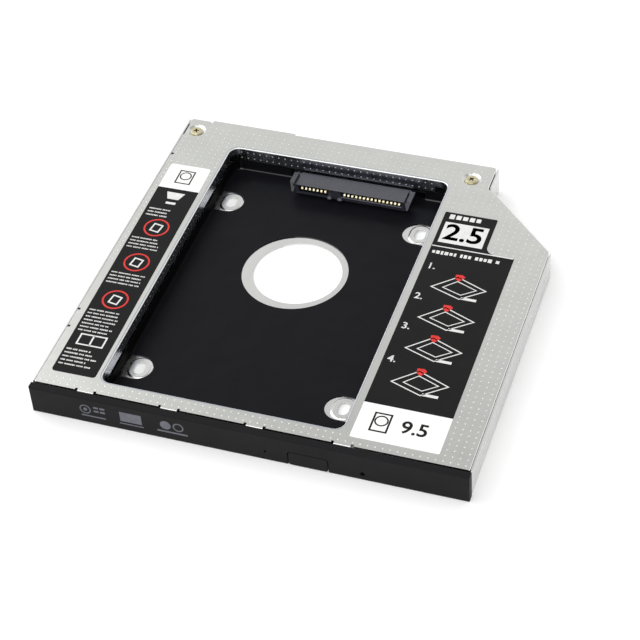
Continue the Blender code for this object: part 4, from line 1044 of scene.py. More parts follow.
@dataclass
class Tray:
    """The folded tray under the cover: floor, walls, round hole and dished drive-screw seats."""

    side_x: float = 64.0
    depth: float = 124.5
    rim: float = 9.3
    sheet: float = 0.5
    edge_radius: float = 0.6
    slant_start: float = 89.35
    kink: Point = (39.35, 114.0)
    wall_low: float = 7.0
    wall_cut: float = 0.8
    side_left: float = 0.35
    slant_rear: float = 114.3
    host_opening: tuple[Point, Point] = ((-54.4, -29.6), (1.7, 15.0))
    button_opening: tuple[Point, Point] = ((11.8, 25.5), (1.1, 4.1))
    tongue_opening: tuple[float, Point] = (2.7, (4.7, 8.0))
    hook_opening: tuple[float, Point] = (2.3, (2.3, 4.7))
    hole_at: Point = (-9.65, 71.5)
    hole_radius: float = 13.55
    slots: tuple[Point, ...] = ((-40.51, 21.0), (21.21, 21.0), (-40.51, 97.6), (21.21, 97.6))
    slot_size: Point = (3.3, 5.0)
    seat_margin: float = 1.9
    seat_depth: float = 0.1
    dish_inset: float = 1.2
    seat_steps: tuple[Point, ...] = ((0.12, 0.03), (0.15, 0.10), (0.15, 0.10), (0.18, 0.06), (0.12, 0.01))
    dish_steps: tuple[Point, ...] = ((0.15, 0.04), (0.25, 0.14), (0.25, 0.10), (0.15, 0.02))

    def corners(self) -> list[Point]:
        """Gives the plan of the tray.

        Returns:
            Counter-clockwise corners.
        """
        side = self.side_x
        return [(-side, 0.0), (side, 0.0), (side, self.slant_start), self.kink, (self.kink[0], self.depth),
                (-side, self.depth)]

    def shell(self) -> bpy.types.Object:
        """Folds the floor and walls.

        Returns:
            The closed shell.
        """
        piece = plan_face("caddy_tray", self.corners(), [1.0] * 6, self.rim, 4)
        pull(piece, self.rim, self.edge_radius - self.rim)
        fold(piece, self.edge_radius, self.edge_radius, up=False)
        choose(piece, "FACE", level(0.0, -1.0))
        bpy.ops.mesh.inset(thickness=FLAT_MARGIN * MM, depth=0.0)
        remove(piece, "FACE", level(self.rim, 1.0))
        thicken(piece, self.sheet)
        return piece

    def walls(self, piece: bpy.types.Object) -> None:
        """Ends the front, rear and slanted walls under the cover's skirt and opens the windows in them.

        Args:
            piece: The shell.
        """
        inner = self.side_x - self.side_left
        low, reach = self.wall_low, self.slant_rear
        total = self.side_x + self.slant_start - self.wall_cut * math.sqrt(2)
        slant = plan_face("slant_tool", [(inner, total - inner), (inner, reach), (total - reach, reach)],
                          [0.0] * 3, low)
        pull(slant, low, 8.0)
        front = (-CLEAR, self.wall_cut)
        rear = (self.depth - self.wall_cut, self.depth + CLEAR)
        tools = [slant,
                 block("front_tool", (-inner, inner), front, (low, 15.0)),
                 block("rear_tool", (-inner, self.kink[0] - self.side_left), rear, (low, 15.0)),
                 block("host_tool", self.host_opening[0], rear, self.host_opening[1]),
                 block("button_tool", self.button_opening[0], front, self.button_opening[1])]
        for middles, (half, z) in ((TONGUES, self.tongue_opening), (HOOKS, self.hook_opening)):
            tools += [block("wall_tool", (x - half, x + half), front, z) for x in middles]
        carve(piece, *tools)

    def stadium(self, name: str, at: Point, size: Point, z: float) -> bpy.types.Object:
        """Makes a flat oval whose long side runs from front to back.

        Args:
            name: The piece's name.
            at: Its middle.
            size: Width and length.
            z: Height.

        Returns:
            The oval face.
        """
        half, reach = size[0] / 2, size[1] / 2
        corners = oblong((at[0] - half, at[0] + half), (at[1] - reach, at[1] + reach))
        return plan_face(name, corners, [half * 0.98] * 4, z, 8)

    def seats(self, piece: bpy.types.Object) -> None:
        """Presses the oval seats up round the slots and cuts the slots and the round hole.

        Args:
            piece: The shell.
        """
        base = (self.slot_size[0] + 2 * self.seat_margin, self.slot_size[1] + 2 * self.seat_margin)
        for at in self.slots:
            seat = self.stadium("seat", at, base, self.sheet - self.seat_depth)
            pull(seat, self.sheet - self.seat_depth, self.seat_depth)
            step_up(seat, self.sheet, self.seat_steps)
            carve(piece, seat, operation="UNION")
            dish = self.stadium("dish_tool", at, (base[0] - self.dish_inset, base[1] - self.dish_inset), -0.05)
            pull(dish, -0.05, 0.05)
            step_up(dish, 0.0, self.dish_steps)
            slot = self.stadium("slot_tool", at, self.slot_size, -2.0)
            pull(slot, -2.0, 6.0)
            carve(piece, dish, slot)
        carve(piece, drum("hole_tool", self.hole_at, (self.hole_radius, self.hole_radius), (-2.0, 2.0), 96))

    def build(self) -> None:
        """Makes the tray and lets it stand for its CAD node."""
        piece = self.shell()
        self.walls(piece)
        self.seats(piece)
        smooth(piece)
        dress(piece, TRAY_METAL)
        # The right wall's darker colour is painted shade
        paint(piece, TRAY_SIDE_PAINTED_SHADE, lambda middle, way: way.x > 0.6)
        put_on(piece, None, "tray_metal", "bottom_tray")


@dataclass
class Film:
    """The black film on the tray's floor, with its edges folded up."""

    x: Point = (-45.5, 26.2)
    y: Point = (5.4, 114.1)
    radius: float = 3.0
    top: float = 4.3
    floor: float = 0.5
    film: float = 0.25
    fold_radius: float = 0.6
    hole_at: Point = (-10.5, 71.5)
    hole_radius: float = 16.22
    cutout_radius: float = 4.65
    cutouts: tuple[Point, ...] = ((-41.36, 21.0), (20.36, 21.0), (-41.36, 97.6), (20.36, 97.6))
    connector_gap: Point = (-26.05, 18.15)

    def build(self) -> None:
        """Folds the film, cuts it out and lets it stand for its CAD node."""
        grow, reach = self.film, self.cutout_radius
        corners = oblong((self.x[0] - grow, self.x[1] + grow), (self.y[0] - grow, self.y[1] + grow))
        piece = plan_face("caddy_film", corners, [self.radius + grow] * 4, self.top, 8)
        outer = self.fold_radius + grow
        pull(piece, self.top, self.floor + outer - self.top)
        fold(piece, self.floor + outer, outer, up=False)
        choose(piece, "FACE", level(self.floor, -1.0))
        bpy.ops.mesh.inset(thickness=0.2 * MM, depth=0.0)
        remove(piece, "FACE", level(self.top, 1.0))
        thicken(piece, self.film)
        tools = [drum("hole_tool", self.hole_at, (self.hole_radius, self.hole_radius), (-2.0, 2.0), 96)]
        high = self.floor + self.film + 0.3
        for x, y in self.cutouts:
            side = self.x[0] + self.fold_radius if x < 0.0 else self.x[1] - self.fold_radius
            tools.append(drum("cutout_tool", (x, y), (reach, reach), (-2.0, high), 48))
            tools.append(block("cutout_tool", (min(x, side), max(x, side)), (y - reach, y + reach), (-2.0, high)))
        tools.append(block("connector_tool", self.connector_gap, (self.y[1] - 0.6, self.y[1] + CLEAR),
                           (self.floor + self.film, 12.0)))
        carve(piece, *tools)
        smooth(piece)
        dress(piece, FILM_BLACK)
        paint(piece, FILM_FOLD, lambda middle, way: way.z < 0.995 and way.y < -0.3)
        paint(piece, FILM_WALL, lambda middle, way: way.x > 0.3)
        put_on(piece, None, "film", "insulation_film")


@dataclass
class Bezel:
    """The moulded front with its hooks, the button's opening and the pin hole, and the button itself."""

    half: float = 64.0
    thickness: float = 2.5
    plate: float = 1.2
    height: float = 9.5
    rim: float = 1.0
    edge: float = 0.4
    rear_edge: float = 0.35
    print_depth: float = 0.01
    button_x: float = 18.65
    button_width: float = 11.3
    button_z: Point = (0.2, 4.95)
    button_back: float = -0.85
    button_gap: float = 0.25
    wing: float = 0.9
    wing_y: Point = (-1.0, -0.5)
    wing_z: Point = (1.4, 3.8)
    button_corner: float = 0.8
    button_edge: float = 0.15
    hook_half: float = 2.0
    hook_end: float = 2.4
    hook_z: Point = (2.6, 3.7)
    barb: float = 0.8
    barb_z: Point = (3.6, 4.4)
    pin_at: Point = (34.2, 2.4)
    pin_radius: float = 0.72
    dimple_at: Point = (6.3, 3.4)
    dimple_radius: float = 0.38

    def peg(self, name: str, at: Point, y: Point, radius: float, sides: int) -> bpy.types.Object:
        """Adds a cylinder primitive that lies from front to back.

        Args:
            name: The piece's name.
            at: Its middle across and in height.
            y: Its front and rear end.
            radius: Its radius.
            sides: Number of sides.

        Returns:
            The cylinder.
        """
        rest()
        bpy.ops.mesh.primitive_cylinder_add(vertices=sides, radius=radius * MM, depth=(y[1] - y[0]) * MM,
                                            location=place(at[0], (y[0] + y[1]) / 2, at[1]),
                                            rotation=(math.pi / 2, 0.0, 0.0))
        return settle(name)

    def front(self) -> bpy.types.Object:
        """Moulds the bezel.

        Returns:
            The closed bezel.
        """
        face = self.print_depth - self.thickness
        back_face = self.plate - self.thickness
        piece = block("caddy_bezel", (-self.half, self.half), (face, 0.0), (0.0, self.height))
        bevel(piece, lambda middle, way: abs(middle.y - face) < NEAR, self.edge, 4)
        bevel(piece, lambda middle, way: abs(middle.y) < NEAR and middle.z > self.height - 0.1, self.rear_edge, 4)
        reach = self.button_width / 2 + self.button_gap
        left, right = self.button_x - reach, self.button_x + reach
        hollow = block("hollow_tool", (-self.half + self.rim, self.half - self.rim), (back_face, CLEAR),
                       (self.rim, self.height - self.rim))
        opening = block("opening_tool", (left, right), (-CLEAR, back_face + 0.3),
                        (-CLEAR, self.button_z[1] + self.button_gap))
        bevel(opening, lambda middle, way: abs(way.y) > 0.9 and middle.z > 0.0, 1.0, 5)
        rim_cut = block("rim_tool", (left - self.wing, right + self.wing), (back_face, CLEAR),
                        (-CLEAR, self.rim + 0.3))
        pin = self.peg("pin_tool", self.pin_at, (-5.0, 1.0), self.pin_radius, 32)
        dimple = self.peg("dimple_tool", self.dimple_at, (face - 0.8, face + 0.8), self.dimple_radius, 24)
        mark = block("mark_tool", (self.half - 0.3, self.half + CLEAR), (-0.9, -0.3), (1.8, 2.4))
        carve(piece, hollow, opening, rim_cut, pin, dimple, mark)
        end = self.hook_end
        for middle_x in HOOKS:
            x = (middle_x - self.hook_half, middle_x + self.hook_half)
            hook = block("hook", x, (back_face - 0.4, end), self.hook_z)
            barb = block("barb", x, (0.8, end), self.barb_z)
            bevel(barb, lambda middle, way: middle.z > self.barb_z[1] - 0.1 and middle.y > end - 0.1, self.barb, 1)
            carve(piece, hook, barb, operation="UNION")
        return piece

    def marks(self) -> bpy.types.Object:
        """Prints plain grey shapes where the bezel carries its marks: a disc, a ring and short bars.

        Returns:
            The print, a thin layer on the bezel's face.
        """
        deep = self.print_depth
        layer = (-self.thickness, 2 * deep - self.thickness)
        cut = (layer[0] - 2 * deep, layer[1] + 2 * deep)
        bars = [((start, start + 1.5), z) for start in (-44.4, -42.5) for z in ((6.3, 7.0), (4.9, 5.6))]
        bars += [((-48.4, -41.0), (2.7, 3.2)), ((-36.5, -30.0), (3.6, 7.2)), ((-36.8, -29.6), (2.5, 2.9)),
                 ((-25.4, -16.4), (2.8, 3.4))]
        discs = [((-47.0, 5.4), 1.7, 0.35), ((-47.0, 5.4), 0.6, 0.0), ((-22.8, 5.6), 1.6, 0.0),
                 ((-19.0, 5.6), 1.6, 0.4)]
        made = [block("bar", x, layer, z) for x, z in bars]
        for at, radius, ring in discs:
            made.append(self.peg("disc", at, layer, radius, 48))
            if ring:
                carve(made[-1], self.peg("ring_tool", at, cut, radius - ring, 48))
        return join("bezel_print", made)

    def button(self) -> bpy.types.Object:
        """Moulds the button with the wings that keep it in.

        Returns:
            The closed button.
        """
        reach = self.button_width / 2
        piece = block("push_button", (self.button_x - reach, self.button_x + reach),
                      (-self.thickness, self.button_back), self.button_z)
        bevel(piece, lambda middle, way: abs(way.y) > 0.9, self.button_corner, 5)
        bevel(piece, lambda middle, way: abs(middle.y + self.thickness) < NEAR, self.button_edge, 3)
        reach += self.wing
        wings = block("wings", (self.button_x - reach, self.button_x + reach), self.wing_y, self.wing_z)
        carve(piece, wings, operation="UNION")
        return piece

    def build(self) -> None:
        """Makes the bezel, its print and the button, and lets them stand for their CAD nodes."""
        piece = self.front()
        smooth(piece)
        put_on(piece, BEZEL_BLACK, "bezel_plastic", "front_bezel")
        put_on(self.marks(), PRINT_BEZEL, "bezel_plastic")
        button = self.button()
        smooth(button)
        put_on(button, BUTTON_BLACK, "button_plastic", "eject_button", body=Body.BUTTON)


@dataclass
class DriveConnector:
    """The moulded receptacle for the drive, with its guide horns and sprung contacts."""

    x: Point = (-21.95, 14.05)
    y: Point = (105.25, 110.3)
    z: Point = (1.6, 6.0)
    lip: Point = (3.1, 5.55)
    setback: float = 0.85
    horn: float = 1.9
    horn_front: float = 105.0
    horn_low: float = 2.6
    groups: tuple[Point, Point] = ((-21.1, -11.28), (-7.13, 12.85))
    bumps: tuple[Point, Point] = ((-10.65, 105.8), (-7.25, 105.8))
    bump_radii: Point = (1.0, 0.5)
    bump_z: Point = (2.3, 2.95)
    back: float = 0.9
    back_z: float = 4.25
    ledge: float = 2.75
    ledge_z: Point = (3.0, 4.35)
    cavity_wall: float = 1.1
    tunnel: Point = (0.5, 2.3)
    tunnel_z: Point = (2.7, 3.85)
    sill_y: Point = (-0.25, 0.3)
    sill_z: Point = (2.6, 3.12)
    contact_half: float = 0.3
    contact_y: Point = (106.25, 108.3)
    contact_z: Point = (3.2, 4.15)
    tail_start: float = 108.1
    tail_z: Point = (3.15, 3.5)

    def guide_horn(self, side: float, edge: float) -> bpy.types.Object:
        """Moulds a guide horn whose front tapers down to a point.

        Args:
            side: -1 for the left horn, 1 for the right one.
            edge: The body's end that it stands on.

        Returns:
            The closed horn.
        """
        inner, outer = edge - side * 0.4, edge + side * self.horn
        low, high = self.horn_low, self.z[1] - 0.35
        tip = self.horn_front + 0.1
        horn = block("horn", (min(inner, outer), max(inner, outer)), (self.horn_front, self.y[1] + self.back),
                     (low, high))
        nudge(horn, lambda middle, way: middle.z > high - 0.1 and middle.y < tip, (0.0, 1.5, 0.0))
        nudge(horn, lambda middle, way: middle.z < low + 0.1 and middle.y < tip
              and (middle.x - inner) * side > 0.5, (-side * 0.8, 0.0, 0.3))
        nudge(horn, lambda middle, way: middle.z < low + 0.1 and middle.y < tip
              and (middle.x - inner) * side < 0.5, (side * 0.9, 0.0, 0.0))
        nudge(horn, lambda middle, way: middle.z < low + 0.1 and middle.y > tip + 1.9, (0.0, 0.0, 1.75))
        round_edges(horn, 0.12, 20.0)
        return horn

    def housing(self) -> bpy.types.Object:
        """Moulds the housing.

        Returns:
            The closed housing.
        """
        (left, right), (front, rear), (low, high) = self.x, self.y, self.z
        step = front + self.setback
        piece = block("drive_receptacle", self.x, self.y, self.z)
        back_top = block("back_top", self.x, (rear - 0.4, rear + self.back), (self.back_z, high))
        carve(piece, back_top, operation="UNION")
        bevel(piece, lambda middle, way: abs(way.x) > 0.9 and middle.z > high - 0.1 and middle.y < rear - 1.0, 0.3, 4)
        bevel(piece, lambda middle, way: abs(way.x) > 0.9 and middle.z > high - 0.1 and middle.y > rear + 0.5, 0.7, 4)
        carve(piece, block("under_lip_tool", (left - CLEAR, right + CLEAR), (front - CLEAR, step),
                           (low - 1.0, self.lip[1])))
        parts = [block("ledge", self.x, (rear - 0.4, rear + self.ledge), self.ledge_z),
                 self.guide_horn(-1.0, left), self.guide_horn(1.0, right)]
        parts += [drum("bump", at, self.bump_radii, self.bump_z, 32) for at in self.bumps]
        carve(piece, *parts, operation="UNION")
        groove = (front - 1.0, rear - 0.2)
        tools = [block("groove_tool", (left - 0.05, left + 0.2), groove, (high - 0.5, high + 1.0)),
                 block("groove_tool", (right - 0.1, right + 0.45), groove, (high - 1.2, high + 1.0))]
        inset, deep = self.tunnel
        for start, end in self.groups:
            tools.append(block("cavity_tool", (start, end), (front - CLEAR, rear - self.cavity_wall), self.lip))
            tools.append(block("tunnel_tool", (start + inset, end - inset), (front + deep, rear + CLEAR),
                               self.tunnel_z))
        carve(piece, *tools)
        for start, end in self.groups:
            sill = block("sill", (start + 0.3, end), (step + self.sill_y[0], step + self.sill_y[1]), self.sill_z)
            bevel(sill, lambda middle, way: abs(way.x) > 0.9 and middle.z > 3.0 and middle.y < step, 0.3, 3)
            carve(piece, sill, operation="UNION")
        round_edges(piece, 0.06)
        smooth(piece)
        return piece

    def contacts(self, names: Sequence[str]) -> bpy.types.Object:
        """Bends the sprung contacts and joins them.

        Args:
            names: The CAD contacts, one for each.

        Returns:
            All the contacts.
        """
        half, (front, rear), high = self.contact_half, self.contact_y, self.contact_z[1] - 0.15
        nose = block("contact", (-half, half), self.contact_y, self.contact_z)
        bevel(nose, lambda middle, way: abs(way.x) > 0.9 and middle.y < front + 0.75 and middle.z > high, 0.75, 4,
              0.3)
        nudge(nose, lambda middle, way: middle.y > rear - 0.3 and middle.z > high, (0.0, 0.0, -0.35))
        made = []
        for name in names:
            low_end, high_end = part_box(name)
            middle = (low_end[0] + high_end[0]) / 2
            spring = nose.copy()
            spring.data = nose.data.copy()
            bpy.context.collection.objects.link(spring)
            shift(spring, Matrix.Translation((middle, 0.0, 0.0)))
            made.append(spring)
            made.append(block("tail", (middle / MM - half, middle / MM + half),
                              (self.tail_start, high_end[1] / MM - SEAM_Y), self.tail_z))
        bpy.data.objects.remove(nose, do_unlink=True)
        return join("drive_contacts", made)

    def build(self) -> None:
        """Makes the housing and its contacts, and lets them stand for their CAD nodes."""
        put_on(self.housing(), HOUSING_NYLON, "housing_plastic", "drive_connector_housing")
        names = [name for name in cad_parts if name.startswith("drive_") and "_contact_" in name]
        put_on(self.contacts(names), CONTACT_GOLD, "contact_gold", *names)


@dataclass
class Screws:
    """The cross-recess screws in the cover."""

    names: tuple[str, str] = ("rear_left_screw", "rear_right_screw")
    turns: tuple[float, float] = (20.0, 50.0)
    head: float = 1.9
    seat: float = 9.0
    top: float = 9.5
    shank: float = 0.7
    arm: Point = (0.88, 0.25)
    recess: float = 0.4
    recess_radius: float = 1.1

    def build(self) -> None:
        """Turns each screw and lets it stand for its CAD node."""
        long, wide = self.arm
        for name, at, turn in zip(self.names, SCREWS, self.turns):
            piece = drum(f"{name}_head", at, (self.head, self.head), (self.seat, self.top), 64)
            step_up(piece, self.top, ((0.9, 0.0),))
            bevel(piece, lambda middle, way: abs(middle.z - self.top) < NEAR
                  and (middle.xy - Vector(at)).length > self.head - 0.1, 0.22, 5)
            shank = drum("shank", at, (self.shank, self.shank), (self.seat - 4.0, self.seat + 0.1), 24)
            carve(piece, shank, operation="UNION")
            for angle in (turn, turn + 90.0):
                arm = block("arm_tool", (-long, long), (-wide, wide), (self.top - self.recess, self.top + 1.0))
                shift(arm, Matrix.Translation(-place(0.0, 0.0, 0.0)))
                shift(arm, Matrix.Rotation(math.radians(angle), 4, "Z"))
                shift(arm, Matrix.Translation(place(at[0], at[1], 0.0)))
                carve(piece, arm)
            round_edges(piece, 0.05)
            smooth(piece)
            dress(piece, SCREW_YELLOW)
            # The recess's dark colour is painted shade
            paint(piece, RECESS_PAINTED_SHADE, lambda middle, way: (middle.xy - Vector(at)).length < self.recess_radius
                  and self.top - self.recess - 0.1 < middle.z < self.top - 0.03)
            put_on(piece, None, "screw_brass", name)


@dataclass
class Artwork:
    """Thin flat print, drawn in a label's own frame and laid onto it."""

    name: str
    middle: Point
    turn: float
    z: float
    thickness: float = 0.012

    def __post_init__(self) -> None:
        """Starts with nothing printed."""
        self.parts: list[bpy.types.Object] = []

    def shape(self, points: Sequence[Point], line: float = 0.0) -> None:
        """Prints a filled polygon, or its outline if a line width is given.

        Args:
            points: Corners in order.
            line: Width of the outline.
        """
        rest()
        bpy.ops.mesh.primitive_circle_add(vertices=len(points), radius=1.0, fill_type="NGON")
        part = settle("shape")
        for vert, (x, y) in zip(part.data.vertices, points):
            vert.co = (x * MM, y * MM, 0.0)
        bpy.ops.object.mode_set(mode="EDIT")
        bpy.ops.mesh.select_all(action="SELECT")
        bpy.ops.mesh.normals_make_consistent(inside=False)
        if line:
            bpy.ops.mesh.inset(thickness=line * MM, use_boundary=True)
            bpy.ops.mesh.delete(type="FACE")
        bpy.ops.object.mode_set(mode="OBJECT")
        self.parts.append(part)

    def bar(self, x: Point, y: Point) -> None:
        """Prints an upright rectangle between two ranges."""
        self.shape(oblong(x, y))

    def disc(self, x: float, y: float, radius: float, line: float = 0.0, sides: int = 40) -> None:
        """Prints a disc, or a ring if a line width is given."""
        angles = [2 * math.pi * step / sides for step in range(sides)]
        self.shape([(x + radius * math.cos(angle), y + radius * math.sin(angle)) for angle in angles], line)

    def words(self, x: Point, y: float, height: float, dice: random.Random) -> None:
        """Prints a line of strokes in groups, as small type looks from afar.

        Args:
            x: Where the line starts and ends.
            y: Middle of the line.
            height: Height of the strokes.
            dice: Source of the widths.
        """
        start = x[0]
        left = dice.randint(3, 8)
        self.bar((0.0, 1.0), (-0.5, 0.5))
        first = self.parts.pop()
        while start < x[1] - height:
            width = height * dice.uniform(0.36, 0.62)
            tall = height * dice.uniform(0.58, 0.82)
            stroke = first.copy()
            stroke.data = first.data.copy()
            bpy.context.collection.objects.link(stroke)
            shift(stroke, Matrix.Translation((start * MM, y * MM, 0.0)) @ Matrix.Diagonal((width, tall, 1.0, 1.0)))
            self.parts.append(stroke)
            start += width + height * 0.2
            left -= 1
            if not left:
                start += height * 0.45
                left = dice.randint(3, 8)
        bpy.data.objects.remove(first, do_unlink=True)

    def figures(self, text: str, x: float, y: float, size: float) -> None:
        """Prints plain numerals.

        Args:
            text: The numerals.
            x: Middle of the text.
            y: Middle of the text.
            size: Type size in millimetres.
        """
        rest()
        bpy.ops.object.text_add(location=(0.0, 0.0, 0.0))
        item = bpy.context.object
        item.data.body = text
        item.data.size = size * MM
        item.data.align_x = "CENTER"
        item.data.align_y = "CENTER"
        item.data.offset = 0.02 * size * MM
        item.data.resolution_u = 4
        bpy.ops.object.convert(target="MESH")
        part = bpy.context.object
        shift(part, Matrix.Translation((x * MM, y * MM, 0.0)))
        self.parts.append(part)

    def build(self, finish: Finish) -> None:
        """Lays the print on its label.

        Args:
            finish: The ink.
        """
        piece = join(self.name, self.parts)
        hold(piece)
        bpy.ops.object.mode_set(mode="EDIT")
        bpy.ops.mesh.select_all(action="SELECT")
        bpy.ops.mesh.extrude_region_move(TRANSFORM_OT_translate={"value": (0.0, 0.0, self.thickness * MM)})
        bpy.ops.mesh.select_all(action="SELECT")
        bpy.ops.mesh.normals_make_consistent(inside=False)
        bpy.ops.object.mode_set(mode="OBJECT")
        shift(piece, Matrix.Translation(place(self.middle[0], self.middle[1], self.z))
              @ Matrix.Rotation(math.radians(self.turn), 4, "Z"))
        put_on(piece, finish, "label_print")


@dataclass
class Labels:
    """The two stickers on the cover, with plain shapes in place of the printed words and signs."""

    z: float = 9.5
    thickness: float = 0.08
    left_middle: Point = (-54.15, 53.45)
    left_size: Point = (13.4, 95.3)
    left_turn: float = 0.5
    left_head: float = 11.7
    right_x: tuple[float, float, float] = (28.8, 45.1, 54.1)
    right_y: tuple[float, float, float] = (3.7, 84.5, 100.2)
    right_foot: float = 13.5

    def sheet(self, name: str, corners: Sequence[Point], radii: Sequence[float]) -> bpy.types.Object:
        """Cuts a flat sticker.

        Args:
            name: The piece's name.
            corners: Corners in plan.
            radii: Their radii.

        Returns:
            The sticker.
        """
        piece = plan_face(name, corners, radii, self.z)
        pull(piece, self.z, self.thickness)
        smooth(piece)
        return piece

    def left(self) -> None:
        """Makes the narrow sticker: a white field with a drive's outline over a black field."""
        half, reach = self.left_size[0] / 2, self.left_size[1] / 2
        split = reach - self.left_head
        spin = (Matrix.Translation(place(self.left_middle[0], self.left_middle[1], 0.0))
                @ Matrix.Rotation(math.radians(self.left_turn), 4, "Z") @ Matrix.Translation(-place(0.0, 0.0, 0.0)))
        black = self.sheet("left_sticker_black", oblong((-half, half), (-reach, split)), [1.0, 1.0, 0.0, 0.0])
        shift(black, spin)
        put_on(black, LABEL_BLACK, "label_print", "left_label")
        white = self.sheet("left_sticker_white", oblong((-half, half), (split, reach)), [0.0, 0.0, 1.0, 1.0])
        shift(white, spin)
        put_on(white, LABEL_WHITE, "label_print")
        dice = random.Random(5)
        high = self.z + self.thickness
        ink = Artwork("left_black_print", self.left_middle, self.left_turn, high)
        ink.shape(oblong((-2.6, 2.6), (split + 2.8, split + 9.2)), 0.45)
        ink.disc(0.0, split + 6.6, 1.9, 0.4)
        ink.build(LABEL_BLACK)
        pale = Artwork("left_white_print", self.left_middle, self.left_turn, high)
        red = Artwork("left_red_print", self.left_middle, self.left_turn, high)
        pale.shape([(-1.8, 31.0), (1.8, 31.0), (3.0, 34.2), (-3.0, 34.2)])
        pale.bar((-1.6, 1.6), (28.6, 29.6))
        for y in (25.6, 24.1, 22.6):
            pale.words((-5.6, dice.uniform(0.5, 3.0)), y, 0.75, dice)
        for centre, lines in ((17.2, 4), (0.9, 4), (-16.0, 7)):
            red.disc(0.0, centre, 4.0, 0.55)
            pale.shape([(-1.9, centre - 1.6), (1.3, centre - 2.2), (1.9, centre + 1.4), (-1.3, centre + 2.0)], 0.5)
            for line in range(lines):
                pale.words((-5.8, dice.uniform(2.5, 5.6)), centre - 5.6 - 1.45 * line, 0.7, dice)
        pale.shape(oblong((-4.2, 4.2), (-36.2, -31.6)), 0.5)
        pale.bar((-0.25, 0.25), (-36.0, -31.8))
        for line in range(5):
            pale.words((-5.9, dice.uniform(2.0, 5.4)), -38.4 - 1.5 * line, 0.75, dice)
        pale.build(PRINT_GREY)
        red.build(PRINT_RED)

    def right(self) -> None:
        """Makes the wide sticker: a head block, four numbered steps and a white field."""
        low_x, head_x, high_x = self.right_x
        low_y, mid_y, high_y = self.right_y
        split = low_y + self.right_foot
        white = self.sheet("right_sticker_white", oblong((low_x, high_x), (low_y, split)), [0.4, 0.4, 0.0, 0.0])
        put_on(white, LABEL_WHITE, "label_print")
        black = self.sheet("right_sticker_black",
                           [(low_x, split), (high_x, split), (high_x, mid_y), (head_x, mid_y), (head_x, high_y),
                            (low_x, high_y)], [0.0, 0.0, 0.4, 3.2, 0.4, 0.4])
        put_on(black, LABEL_BLACK, "label_print", "right_label")
        high = self.z + self.thickness
        dice = random.Random(11)
        origin = (low_x, low_y)
        ink = Artwork("right_black_print", origin, 0.0, high)
        ink.shape(oblong((4.2, 9.4), (3.4, 10.6)), 0.55)
        ink.disc(6.8, 7.6, 2.0, 0.45)
        ink.figures("9.5", 16.4, 6.8, 6.4)
        pale = Artwork("right_white_print", origin, 0.0, high)
        pale.bar((0.2, 25.0), (mid_y - low_y - 0.35, mid_y - low_y + 0.05))
        pale.words((1.8, 14.6), 94.6, 2.7, dice)
        pale.bar((1.3, 14.9), (82.6, 92.0))
        ink.figures("2.5", 8.1, 87.3, 10.0)
        ink.build(LABEL_BLACK)
        pale.words((1.0, 23.0), 78.0, 1.9, dice)
        red = Artwork("right_red_print", origin, 0.0, high)
        for number, y in enumerate((71.6, 58.2, 45.2, 31.4), 1):
            pale.figures(f"{number}.", 2.6, y, 3.6)
            left, base = 4.6, y - 12.0
            pale.shape([(left, base + 3.4), (left + 9.6, base), (left + 16.6, base + 5.4), (left + 6.8, base + 9.4)],
                       0.35)
            pale.shape([(left + 3.4, base + 3.9), (left + 9.6, base + 1.8), (left + 13.8, base + 5.0),
                        (left + 7.2, base + 7.6)], 0.3)
            pale.bar((left + 10.0, left + 14.6), (base + 0.2, base + 1.2))
            red.shape([(left + 6.2, base + 8.4), (left + 7.6, base + 7.4), (left + 9.0, base + 9.6),
                       (left + 8.0, base + 10.4), (left + 6.0, base + 10.2)])
        pale.build(PRINT_GREY)
        red.build(PRINT_RED)

    def build(self) -> None:
        """Makes both stickers and lets them stand for their CAD nodes."""
        self.left()
        self.right()


@dataclass
class KeptNodes:
    """CAD nodes whose shape is right: they keep their meshes and get better materials."""

    finishes: tuple[tuple[str, Finish], ...] = (
        ("host_signal_contact", CONTACT_TIN),
        ("host_power_contact", CONTACT_TIN),
        ("capacitor", CAPACITOR_TAN),
        ("circuit_board", BOARD_BLACK),
        ("rear_left_standoff", POST_NICKEL),
        ("rear_right_standoff", POST_NICKEL),
        ("host_connector_housing", HOUSING_NYLON),
    )

    def build(self) -> None:
        """Reassigns the nodes' material slots."""
        for name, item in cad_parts.items():
            for start, finish in self.finishes:
                if name.startswith(start):
                    for material_slot in item.material_slots:
                        material_slot.material = finish.material()
                    LOG.info("%s: %s", name, finish.name)


